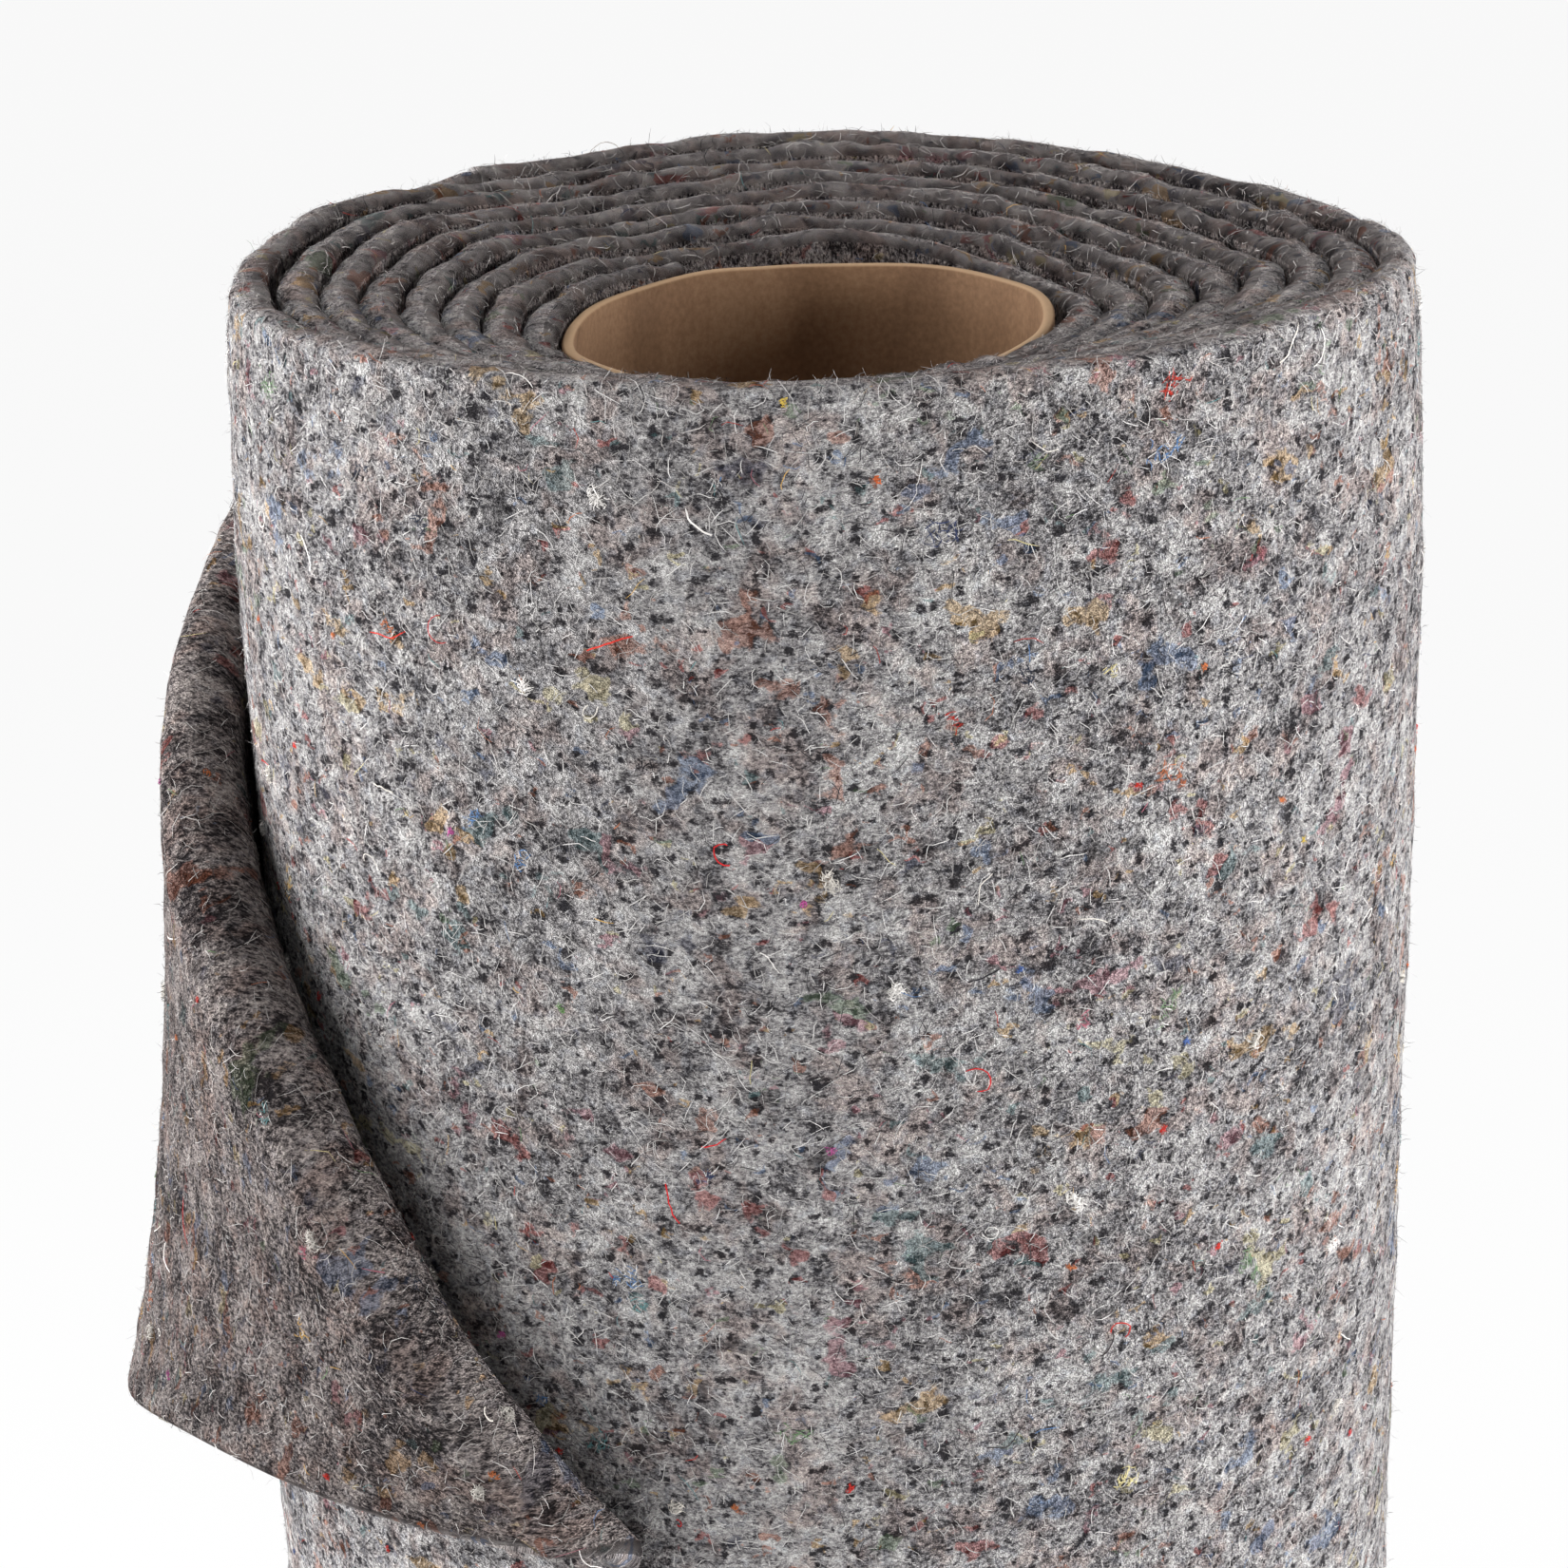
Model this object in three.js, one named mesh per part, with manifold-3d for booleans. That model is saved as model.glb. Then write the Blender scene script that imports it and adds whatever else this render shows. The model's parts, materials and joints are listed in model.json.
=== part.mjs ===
// Roll of pond underlay: a thick needle-punched felt of recycled fibres, wound on a crushed
// cardboard tube and stood on end, with the top corner of its loose end folded out and down.
// Millimetres, +Z up. Bearings are in degrees, counted anticlockwise from +X as seen from above,
// so 0 is the roll's right side, 90 its back, 180 its left and 270 its front.

import * as THREE from 'three';
import { mergeVertices } from 'three/addons/utils/BufferGeometryUtils.js';
import Module from 'manifold-3d';

// Felt
const ROLL_HEIGHT = 1000;
const FELT_THICKNESS = 5.6;
const TURN_GAP = 0.4;
const PIECE_GAP = 0.3;

// Cardboard tube: a 76 mm bore tube, crushed to an oval
const TUBE_HALF_LENGTH = 44;
const TUBE_HALF_WIDTH = 36.8;
const TUBE_LONG_AXIS = 76;
const TUBE_CENTRE = { x: -2.9, y: -2.9 };
const TUBE_WALL = 2;
const TUBE_DROP = 11.6;
const TUBE_DENTS = [
  { bearing: 108, depth: 1.3, spread: 8 },
  { bearing: 226, depth: 0.8, spread: 14 },
];

// Winding: it starts on the tube at START, winds anticlockwise outwards and is cut off at TAIL
const START = 125;
const WHOLE_TURNS = 8;
const SPLIT = 133;
const TAIL = 249;
const FIRST_TURN_HUG = 4;

// The outer turns, from the start of the eighth one. The bearing runs on past 360, outer is the
// radius of the outer face, and slack is the extra gap to the turn inside it.
const OUTER_TURNS = [
  { bearing: 125, outer: 84.0, slack: 0 },
  { bearing: 135, outer: 84.3, slack: 0.1 },
  { bearing: 143, outer: 86.2, slack: 0.7 },
  { bearing: 150, outer: 89.2, slack: 1.9 },
  { bearing: 158, outer: 90.8, slack: 2.6 },
  { bearing: 168, outer: 90.9, slack: 2.8 },
  { bearing: 190, outer: 91.4, slack: 2.9 },
  { bearing: 215, outer: 90.6, slack: 1.6 },
  { bearing: 249, outer: 88.3, slack: 0.3 },
  { bearing: 290, outer: 88.6, slack: 0.2 },
  { bearing: 330, outer: 89.3, slack: 0.6 },
  { bearing: 352, outer: 89.6, slack: 1.4 },
  { bearing: 372, outer: 88.8, slack: 1.7 },
  { bearing: 395, outer: 88.9, slack: 1.8 },
  { bearing: 420, outer: 90.4, slack: 1.2 },
  { bearing: 450, outer: 91.2, slack: 0.8 },
  { bearing: 485, outer: 90.1, slack: 0.3 },
  { bearing: 495, outer: 90.4, slack: 0 },
  { bearing: 503, outer: 92.5, slack: 0 },
  { bearing: 510, outer: 95.4, slack: 0 },
  { bearing: 518, outer: 97.0, slack: 0 },
  { bearing: 528, outer: 97.2, slack: 0 },
  { bearing: 550, outer: 97.7, slack: 0 },
  { bearing: 575, outer: 97.0, slack: 0 },
  { bearing: 609, outer: 94.6, slack: 0 },
];

// Top of the roll: dished towards the tube, with a rim that waves a little
const DISH = 11;
const RIM_WAVE = [
  { bearing: 0, rise: -1.0 },
  { bearing: 20, rise: -2.3 },
  { bearing: 40, rise: -2.1 },
  { bearing: 90, rise: 1.5 },
  { bearing: 124, rise: 0.6 },
  { bearing: 148, rise: 2.2 },
  { bearing: 172, rise: 1.2 },
  { bearing: 200, rise: 0.4 },
  { bearing: 270, rise: 0 },
  { bearing: 330, rise: 0.5 },
  { bearing: 360, rise: -1.0 },
];
const GROOVE_DEPTH = 7;
const RIDGE_ROOT = 3;
const EDGE_ROUNDING = 1.4;

// How far the outer turn leans in or bulges out, at depths below the rim
const WALL_LEAN = [
  { depth: 0, out: -2.1 },
  { depth: 12, out: -0.9 },
  { depth: 45, out: 0.4 },
  { depth: 130, out: 0 },
  { depth: 420, out: -0.4 },
  { depth: 700, out: 0.4 },
  { depth: 960, out: 0 },
  { depth: 1000, out: 0.8 },
];

// Folded corner: its two straight sides meet at a right angle in the flat cloth
const CORNER_SELVEDGE = 161;
const CORNER_CUT_END = 178;
// The foot of the fold, where the cloth leaves the roll to turn over, from the rim to the cut end.
// share runs along the fold, lift is how far the cloth is pulled off the turn inside it, bend is
// the radius it turns over by, and past the bend the cloth hangs down at fall degrees below the
// level, its free edge standing off the roll by stand.
const FOLD = [
  { bearing: 135, share: 0, depth: 0.6, lift: 0, bend: 3, fall: 68, stand: 0 },
  { bearing: 139, share: 0, depth: 2.2, lift: 0, bend: 3, fall: 68, stand: 0 },
  { bearing: 142, share: 0.01, depth: 5.5, lift: 0, bend: 3, fall: 68, stand: 0 },
  { bearing: 147, share: 0.08, depth: 18, lift: 0, bend: 3, fall: 67, stand: 0.5 },
  { bearing: 153, share: 0.16, depth: 37, lift: 0, bend: 3, fall: 66, stand: 1.5 },
  { bearing: 164, share: 0.25, depth: 54, lift: 0.1, bend: 3.2, fall: 65, stand: 4 },
  { bearing: 187, share: 0.36, depth: 74, lift: 0.3, bend: 3.8, fall: 64, stand: 8 },
  { bearing: 200, share: 0.45, depth: 91, lift: 1.2, bend: 4.3, fall: 64, stand: 12 },
  { bearing: 214, share: 0.54, depth: 110, lift: 2.2, bend: 4.6, fall: 58, stand: 12.5 },
  { bearing: 232, share: 0.77, depth: 150, lift: 1.2, bend: 4.6, fall: 38, stand: 6 },
  { bearing: 249, share: 1, depth: 178, lift: 0.2, bend: 4.6, fall: 24, stand: 0 },
];
const FLARE = 1.6;

// The loose end's rows of points under the fold: heights above the floor, then places below the
// foot of the fold with the part of its lift that they have
const LOOSE_HEIGHTS = [0, 300, 580];
const BELOW_FOLD = [
  { below: 70, lifted: 0 },
  { below: 30, lifted: 0.4 },
  { below: 0, lifted: 1 },
];

// Fineness of the round and folded faces
const STEP_DEG = 7.5;
const LOOSE_PARTS = 21;
const BEND_PARTS = 5;
const HANG_PARTS = 7;

// Points closer than these are one point, or too close to give a direction
const SAME_POINT = 1e-3;
const NO_DIRECTION = 0.2;

const FELT = { color: 0x878280, roughness: 1, metalness: 0 };
const CARDBOARD = { color: 0x8f7152, roughness: 0.85, metalness: 0 };

const wasm = await Module();
wasm.setup();

const radians = THREE.MathUtils.degToRad;
const lerp = THREE.MathUtils.lerp;

// A smooth value from a table's column, at a place along its first column
function smooth(rows, key, column, at) {
  const last = rows.length - 1;
  const x = THREE.MathUtils.clamp(at, rows[0][key], rows[last][key]);
  const i = Math.min(last - 1, Math.max(0, rows.findIndex((row) => row[key] > x) - 1));
  const j = x >= rows[last][key] ? last - 1 : i;
  const slope = (k) => {
    const before = rows[Math.max(0, k - 1)];
    const after = rows[Math.min(last, k + 1)];
    return (after[column] - before[column]) / (after[key] - before[key]);
  };
  const width = rows[j + 1][key] - rows[j][key];
  const t = (x - rows[j][key]) / width;
  const h = t * t * (3 - 2 * t);
  return (
    lerp(rows[j][column], rows[j + 1][column], h) +
    width * (slope(j) * t * (1 - t) * (1 - t) - slope(j + 1) * t * t * (1 - t))
  );
}

function wrap(bearing) {
  return ((bearing % 360) + 360) % 360;
}

// Radius of the tube's outer face
function tubeRadius(bearing) {
  const turn = radians(bearing - TUBE_LONG_AXIS);
  const axis = radians(TUBE_LONG_AXIS);
  const along = TUBE_CENTRE.x * Math.cos(axis) + TUBE_CENTRE.y * Math.sin(axis);
  const across = TUBE_CENTRE.y * Math.cos(axis) - TUBE_CENTRE.x * Math.sin(axis);
  const p = Math.cos(turn) / TUBE_HALF_LENGTH;
  const q = Math.sin(turn) / TUBE_HALF_WIDTH;
  const p0 = along / TUBE_HALF_LENGTH;
  const q0 = across / TUBE_HALF_WIDTH;
  const a = p * p + q * q;
  const b = p * p0 + q * q0;
  const c = p0 * p0 + q0 * q0 - 1;
  let radius = (b + Math.sqrt(b * b - a * c)) / a;
  for (const dent of TUBE_DENTS) {
    const off = (wrap(bearing - dent.bearing + 180) - 180) / dent.spread;
    radius -= dent.depth * Math.exp(-off * off);
  }
  return radius;
}

function outerFace(winding) {
  return smooth(OUTER_TURNS, 'bearing', 'outer', winding - 360 * (WHOLE_TURNS - 1));
}

// Inner and outer radius of the cloth at a winding angle, which runs on from START turn by turn
function turnFaces(winding) {
  const wound = winding - START;
  const turn = Math.floor(wound / 360 + Number.EPSILON * 360);
  const outer = outerFace(turn >= WHOLE_TURNS - 1 ? winding : START + (wound - 360 * turn) +
    360 * (WHOLE_TURNS - 1));
  if (turn >= WHOLE_TURNS - 1) return { inner: outer - FELT_THICKNESS, outer };
  const part = wound / 360 - turn;
  const climb = part ** FIRST_TURN_HUG;
  const start = tubeRadius(winding) + PIECE_GAP;
  const slack = smooth(OUTER_TURNS, 'bearing', 'slack', START + 360 * part);
  const room = outer - FELT_THICKNESS - slack - start;
  const pitch = room / (WHOLE_TURNS - 1 + climb);
  const inner = start + pitch * (turn + climb);
  return { inner, outer: inner + pitch - TURN_GAP };
}

// Height of the cloth's top edge at a winding angle
function topEdge(winding) {
  const turns = Math.min((winding - START) / 360, WHOLE_TURNS);
  const wave = smooth(RIM_WAVE, 'bearing', 'rise', wrap(winding));
  return ROLL_HEIGHT + wave - DISH * (1 - turns / WHOLE_TURNS);
}

function lean(z) {
  return smooth(WALL_LEAN, 'depth', 'out', ROLL_HEIGHT - z);
}

function place(bearing, radius, z) {
  return [radius * Math.cos(radians(bearing)), radius * Math.sin(radians(bearing)), z];
}

// The bearings of one full turn in even steps
function fullTurn() {
  return Array.from({ length: 360 / STEP_DEG }, (_, i) => START + i * STEP_DEG);
}

// Bearings from one winding angle to another in even steps that fall on the same places each turn
function steps(from, to) {
  const least = STEP_DEG / 10;
  const list = [from];
  for (let w = START + STEP_DEG; w < to - least; w += STEP_DEG) {
    if (w > from + least) list.push(w);
  }
  list.push(to);
  return list;
}

// A closed solid from rings of points, capped at both ends or closed on itself
function solidFromRings(rings, closed) {
  const count = rings[0].length;
  const points = rings.flat(2);
  const faces = [];
  const index = (i, j) => (i % rings.length) * count + (j % count);
  for (let i = 0; i < rings.length - (closed ? 0 : 1); i++) {
    for (let j = 0; j < count; j++) {
      faces.push(index(i, j), index(i + 1, j), index(i + 1, j + 1));
      faces.push(index(i, j), index(i + 1, j + 1), index(i, j + 1));
    }
  }
  if (!closed) {
    const end = rings.length - 1;
    for (let j = 1; j < count - 1; j++) {
      faces.push(index(0, 0), index(0, j), index(0, j + 1));
      faces.push(index(end, 0), index(end, j + 1), index(end, j));
    }
  }
  return solid(points, faces);
}

// A manifold solid from points and triangles, without the triangles that merging flattens
function solid(points, faces) {
  const raw = new THREE.BufferGeometry();
  raw.setAttribute('position', new THREE.Float32BufferAttribute(points, 3));
  raw.setIndex(faces);
  const merged = mergeVertices(raw, SAME_POINT);
  const kept = [];
  for (let i = 0; i < merged.index.count; i += 3) {
    const [a, b, c] = [0, 1, 2].map((k) => merged.index.getX(i + k));
    if (a !== b && b !== c && c !== a) kept.push(a, b, c);
  }
  return new wasm.Manifold(new wasm.Mesh({
    numProp: 3,
    vertProperties: new Float32Array(merged.attributes.position.array),
    triVerts: new Uint32Array(kept),
  }));
}

function meshOf(name, made, look) {
  const data = made.getMesh();
  const geometry = new THREE.BufferGeometry();
  geometry.setAttribute('position', new THREE.Float32BufferAttribute(data.vertProperties, 3));
  geometry.setIndex(new THREE.Uint32BufferAttribute(data.triVerts, 1));
  geometry.computeVertexNormals();
  const mesh = new THREE.Mesh(geometry, new THREE.MeshStandardMaterial(look));
  mesh.name = name;
  return mesh;
}

// Cardboard tube
function tube() {
  const top = ROLL_HEIGHT - TUBE_DROP;
  const rings = fullTurn().map((w) => {
    const outer = tubeRadius(w);
    return [
      place(w, outer - TUBE_WALL, 0),
      place(w, outer, 0),
      place(w, outer, top),
      place(w, outer - TUBE_WALL, top),
    ];
  });
  return solidFromRings(rings, true);
}

// The wound mass up to the bottom of the grooves, its outer wall buried in the outer turn
function woundBody() {
  const buried = FELT_THICKNESS / 2;
  const rings = fullTurn().map((w) => {
    const rimTurn = w + 360 * (WHOLE_TURNS - 1);
    let wall = turnFaces(rimTurn).inner + buried;
    if (w < SPLIT - STEP_DEG / 2) {
      const over = turnFaces(rimTurn + 360).inner + buried;
      wall = lerp(over, wall, (w - START) / (SPLIT - START));
    }
    const bore = tubeRadius(w) + PIECE_GAP;
    return [
      place(w, bore, 0),
      place(w, wall, 0),
      place(w, wall, topEdge(rimTurn) - GROOVE_DEPTH),
      place(w, bore, topEdge(w) - GROOVE_DEPTH),
    ];
  });
  return solidFromRings(rings, true);
}

// The turns inside the outer one: a ridge that runs round and round on the wound body
function innerRidges() {
  const rings = steps(START, START + 360 * (WHOLE_TURNS - 1)).map((w) => {
    const { inner, outer } = turnFaces(w);
    const top = topEdge(w);
    const foot = top - GROOVE_DEPTH - RIDGE_ROOT;
    return [
      place(w, inner, foot),
      place(w, outer, foot),
      place(w, outer, top - EDGE_ROUNDING),
      place(w, lerp(inner, outer, 0.5), top),
      place(w, inner, top - EDGE_ROUNDING),
    ];
  });
  return solidFromRings(rings, false);
}

// The outer turn at its full height, with the leaning and bulging wall
function outerTurn() {
  const from = START + 360 * (WHOLE_TURNS - 1) - STEP_DEG;
  const to = SPLIT + 360 * WHOLE_TURNS;
  const depths = WALL_LEAN.slice(1, -1).map((row) => row.depth);
  const rings = steps(from, to).map((w) => {
    const { inner, outer } = turnFaces(w);
    const top = topEdge(w);
    const wall = depths.map((depth) => {
      const z = ROLL_HEIGHT - depth;
      return place(w, outer + lean(z), z);
    });
    return [
      place(w, inner, 0),
      place(w, outer + lean(0), 0),
      ...wall.reverse(),
      place(w, outer + lean(top), top - EDGE_ROUNDING),
      place(w, lerp(inner, outer, 0.5) + lean(top), top),
      place(w, inner, top - EDGE_ROUNDING),
    ];
  });
  return solidFromRings(rings, false);
}

function feltRoll() {
  return woundBody().add(innerRidges()).add(outerTurn());
}

// Radius of the middle of the loose end, where it lies against the roll
function looseMiddle(bearing, z, lift) {
  return outerFace(bearing + 360 * WHOLE_TURNS) - FELT_THICKNESS / 2 + lean(z) + lift;
}

// The corner of the cloth in the flat: how far it reaches past the fold at a share along it
function cornerReach(share) {
  const fold = Math.hypot(CORNER_SELVEDGE, CORNER_CUT_END);
  const foot = CORNER_SELVEDGE ** 2 / fold ** 2;
  const high = (CORNER_SELVEDGE * CORNER_CUT_END) / fold;
  return high * Math.max(0, Math.min(share / foot, (1 - share) / (1 - foot)));
}

// One line of points up the loose end: from the floor to the fold, round it and down the corner
function looseColumn(bearing) {
  const fold = foldAt(bearing);
  const foot = ROLL_HEIGHT + smooth(RIM_WAVE, 'bearing', 'rise', bearing) - fold.depth;
  const levels = [
    ...LOOSE_HEIGHTS.map((z) => ({ z, lift: 0 })),
    ...BELOW_FOLD.map(({ below, lifted }) => ({ z: foot - below, lift: lifted * fold.lift })),
  ];
  const column = levels.map(({ z, lift }) => place(bearing, looseMiddle(bearing, z, lift), z));
  const reach = cornerReach(fold.share);
  const round = Math.min(reach, Math.PI * fold.bend);
  for (let i = 1; i <= BEND_PARTS; i++) {
    column.push(cornerPoint(bearing, foot, fold, (round * i) / BEND_PARTS, 0));
  }
  for (let i = 1; i <= HANG_PARTS; i++) {
    column.push(cornerPoint(bearing, foot, fold, round, ((reach - round) * i) / HANG_PARTS));
  }
  return column;
}

function foldAt(bearing) {
  const columns = ['share', 'depth', 'lift', 'bend', 'fall', 'stand'];
  return Object.fromEntries(
    columns.map((column) => [column, smooth(FOLD, 'bearing', column, bearing)]));
}

// A point of the corner, round being its way round the bend and past its way beyond the bend
function cornerPoint(bearing, foot, fold, round, past) {
  const angle = round / fold.bend;
  const reach = Math.max(1, cornerReach(fold.share) - Math.PI * fold.bend);
  const stand = fold.stand * (past / reach) ** FLARE;
  const back = past - fold.bend * Math.sin(angle);
  const fall = radians(fold.fall);
  const radius = looseMiddle(bearing, foot, fold.lift) + fold.bend * (1 - Math.cos(angle)) + stand;
  const turned = THREE.MathUtils.radToDeg((back * Math.cos(fall)) / radius);
  return place(bearing - turned, radius, foot - back * Math.sin(fall));
}

// The loose end: one thick sheet from where it leaves the roll to its cut end
function looseEnd() {
  const gapDeg = THREE.MathUtils.radToDeg(PIECE_GAP / outerFace(SPLIT + 360 * WHOLE_TURNS));
  const first = FOLD[0].bearing;
  const bearings = [SPLIT + gapDeg];
  for (let i = 0; i <= LOOSE_PARTS; i++) bearings.push(lerp(first, TAIL, i / LOOSE_PARTS));
  return thickSheet(bearings.map(looseColumn), FELT_THICKNESS);
}

// A closed sheet of even thickness round a grid of middle points, its first row level
function thickSheet(grid, thickness) {
  const rows = grid.length;
  const count = grid[0].length;
  const at = (i, j) => new THREE.Vector3(...grid[i][j]);
  const points = [[], []];
  for (let i = 0; i < rows; i++) {
    for (let j = 0; j < count; j++) {
      const normal = gridNormal(at, rows, count, i, j);
      if (j === 0) normal.setZ(0).normalize();
      const middle = at(i, j);
      points[0].push(...middle.clone().addScaledVector(normal, thickness / 2).toArray());
      points[1].push(...middle.clone().addScaledVector(normal, -thickness / 2).toArray());
    }
  }
  const total = rows * count;
  const top = (i, j) => i * count + j;
  const under = (i, j) => total + i * count + j;
  const faces = [];
  const quad = (a, b, c, d) => faces.push(a, b, c, a, c, d);
  for (let i = 0; i < rows - 1; i++) {
    for (let j = 0; j < count - 1; j++) {
      quad(top(i, j), top(i + 1, j), top(i + 1, j + 1), top(i, j + 1));
      quad(under(i, j), under(i, j + 1), under(i + 1, j + 1), under(i + 1, j));
    }
    quad(top(i + 1, 0), top(i, 0), under(i, 0), under(i + 1, 0));
    quad(top(i, count - 1), top(i + 1, count - 1), under(i + 1, count - 1), under(i, count - 1));
  }
  for (let j = 0; j < count - 1; j++) {
    quad(top(0, j), top(0, j + 1), under(0, j + 1), under(0, j));
    quad(top(rows - 1, j + 1), top(rows - 1, j), under(rows - 1, j), under(rows - 1, j + 1));
  }
  return solid([...points[0], ...points[1]], faces);
}

// The sheet's direction out of the roll at a grid point, from its nearest distinct neighbours
function gridNormal(at, rows, count, i, j) {
  const middle = at(i, j);
  const far = (di, dj) => {
    let [a, b] = [i + di, j + dj];
    while (a >= 0 && a < rows && b >= 0 && b < count) {
      if (at(a, b).distanceTo(middle) > NO_DIRECTION) return at(a, b);
      a += di;
      b += dj;
    }
    return middle;
  };
  const across = far(1, 0).sub(far(-1, 0));
  const up = far(0, 1).sub(far(0, -1));
  return across.cross(up).normalize();
}

const roll = new THREE.Group();
roll.add(meshOf('felt_roll', feltRoll(), FELT));
roll.add(meshOf('loose_end', looseEnd(), FELT));
roll.add(meshOf('cardboard_core', tube(), CARDBOARD));

// The origin is under the middle of the whole, on the floor
const box = new THREE.Box3().setFromObject(roll);
const middle = box.getCenter(new THREE.Vector3());
roll.position.set(-middle.x, -middle.y, -box.min.z);

export default roll;
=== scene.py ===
"""Looks for a roll of pond underlay: a thick grey felt of recycled fibres, wound on a crushed
cardboard tube, with the top corner of its loose end folded out and hanging down."""

import json

import bpy
import numpy as np
from mathutils import Matrix


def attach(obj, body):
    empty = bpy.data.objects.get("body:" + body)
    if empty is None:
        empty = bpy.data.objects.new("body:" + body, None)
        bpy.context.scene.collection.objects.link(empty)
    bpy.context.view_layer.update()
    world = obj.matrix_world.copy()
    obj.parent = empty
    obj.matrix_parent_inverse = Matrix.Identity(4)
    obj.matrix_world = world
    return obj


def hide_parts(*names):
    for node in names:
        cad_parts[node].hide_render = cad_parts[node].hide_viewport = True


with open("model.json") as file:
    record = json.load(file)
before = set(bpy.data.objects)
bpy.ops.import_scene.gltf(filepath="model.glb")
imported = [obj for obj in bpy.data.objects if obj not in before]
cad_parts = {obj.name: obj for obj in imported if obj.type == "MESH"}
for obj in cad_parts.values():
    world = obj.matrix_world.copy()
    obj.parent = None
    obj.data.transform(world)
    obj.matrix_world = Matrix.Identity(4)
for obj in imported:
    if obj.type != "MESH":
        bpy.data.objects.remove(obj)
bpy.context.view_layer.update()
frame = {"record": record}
MM = 0.001
# The roll's axis stands beside the mount under the wound felt
BASE_RADIUS = 0.065
base = next(m for m in frame["record"]["mounts"] if m["name"] == "base")
AXIS = np.array([base["pos_m"][0] - BASE_RADIUS, base["pos_m"][1], 0.0])

# Sizes in millimetres and degrees, as in the solids
ROLL_HEIGHT = 1000.0
FELT_THICKNESS = 5.6
TURN_GAP = 0.4
PIECE_GAP = 0.3
TUBE_HALF_LENGTH = 44.0
TUBE_HALF_WIDTH = 36.8
TUBE_LONG_AXIS = 76.0
TUBE_CENTRE = (-2.9, -2.9)
TUBE_WALL = 2.0
TUBE_ROUNDING = 0.45
TUBE_STEP = 3.0
TUBE_DROP = 11.6
# Bearing, depth and spread of each dent
TUBE_DENTS = [(108, 1.3, 8), (226, 0.8, 14)]
START = 125.0
WHOLE_TURNS = 8
SPLIT = 133.0
TAIL = 249.0
RIM_START = START + 360 * (WHOLE_TURNS - 1)
FIRST_TURN_HUG = 4
DISH = 11.0
CORNER_SELVEDGE = 161.0
CORNER_CUT_END = 178.0
FLARE = 1.6

# Bearing, counted on from the eighth turn to the end of the cloth, radius of the outer face, slack
# to the turn inside
OUTER_TURNS = np.array([
    (125, 84.0, 0), (135, 84.3, 0.1), (143, 86.2, 0.7), (150, 89.2, 1.9), (158, 90.8, 2.6),
    (168, 90.9, 2.8), (190, 91.4, 2.9), (215, 90.6, 1.6), (249, 88.3, 0.3), (290, 88.6, 0.2),
    (330, 89.3, 0.6), (352, 89.6, 1.4), (372, 88.8, 1.7), (395, 88.9, 1.8), (420, 90.4, 1.2),
    (450, 91.2, 0.8), (485, 90.1, 0.3), (495, 90.4, 0), (503, 92.5, 0), (510, 95.4, 0),
    (518, 97.0, 0), (528, 97.2, 0), (550, 97.7, 0), (575, 97.0, 0), (609, 94.6, 0),
])
# Bearing, rise of the rim
RIM_WAVE = np.array([
    (0, -1.0), (20, -2.3), (40, -2.1), (90, 1.5), (124, 0.6), (148, 2.2), (172, 1.2), (200, 0.4),
    (270, 0), (330, 0.5), (360, -1.0),
])
# Depth below the rim, how far the wall leans out there
WALL_LEAN = np.array([
    (0, -2.1), (12, -0.9), (45, 0.4), (130, 0), (420, -0.4), (700, 0.4), (960, 0), (1000, 0.8),
])
# Bearing, then share, depth, lift, bend, fall and stand of the fold
FOLD = np.array([
    (135, 0, 0.6, 0, 3, 68, 0),
    (139, 0, 2.2, 0, 3, 68, 0),
    (142, 0.01, 5.5, 0, 3, 68, 0),
    (147, 0.08, 18, 0, 3, 67, 0.5),
    (153, 0.16, 37, 0, 3, 66, 1.5),
    (164, 0.25, 54, 0.1, 3.2, 65, 4),
    (187, 0.36, 74, 0.3, 3.8, 64, 8),
    (200, 0.45, 91, 1.2, 4.3, 64, 12),
    (214, 0.54, 110, 2.2, 4.6, 58, 12.5),
    (232, 0.77, 150, 1.2, 4.6, 38, 6),
    (249, 1, 178, 0.2, 4.6, 24, 0),
])

# Layers of lumps on the felt: height, size across, seed
RIM_LUMPS = [(0.5, 24, 3), (0.22, 5, 4)]
OUTER_LUMPS = [(0.16, 15, 11), (0.18, 7, 12), (0.22, 3.6, 13)]
REVERSE_LUMPS = [(0.27, 14, 21), (0.315, 5, 22)]
PINCH_LUMPS = [(0.17, 22, 5)]
RIM_WAVE_SHARE = 0.55
# How much higher the lumps are at the top edge of the rim turn and of the turns inside it, the
# depth over which that fades, and how high they are on the very top
RIM_EXTRA, INNER_EXTRA, EXTRA_DEPTH, TOP_SHARE = 0.5, 1.1, 3.5, 0.9
JOINT_SPREAD = 3.5
LUMPLESS_FOOT = 3.0

# How far each face draws in at the top edge, and what is added to that at the back and the front
BACK, BACK_SPREAD = 90, 55
FRONT, FRONT_SPREAD = 265, 65
RIM_PINCH, INNER_PINCH, BACK_PINCH, FRONT_PINCH = 0.12, 0.22, 0.30, -0.15
PINCH_DEPTH = 5.0

# Height of the rounded top edge, its share added at the back and the front, and its squareness
RIM_ROUNDING, INNER_ROUNDING, BACK_ROUNDING, FRONT_ROUNDING = 1.9, 1.8, 0.1, -0.45
ROUNDING_POWER = 0.9

# The free edges of the loose end, its plain lower part, and the rise to the fold
LOOSE_RADIUS = 94.0
EDGE_STEPS = (1.7, 0.9, 0.35, 0.0)
PLAIN_HEIGHT = 703.0
FOLD_ROOM = 110.0
LIFT_ROOM = 60.0
SHORT_CORNER = 8.0
CALM_EDGE = 6.0


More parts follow.
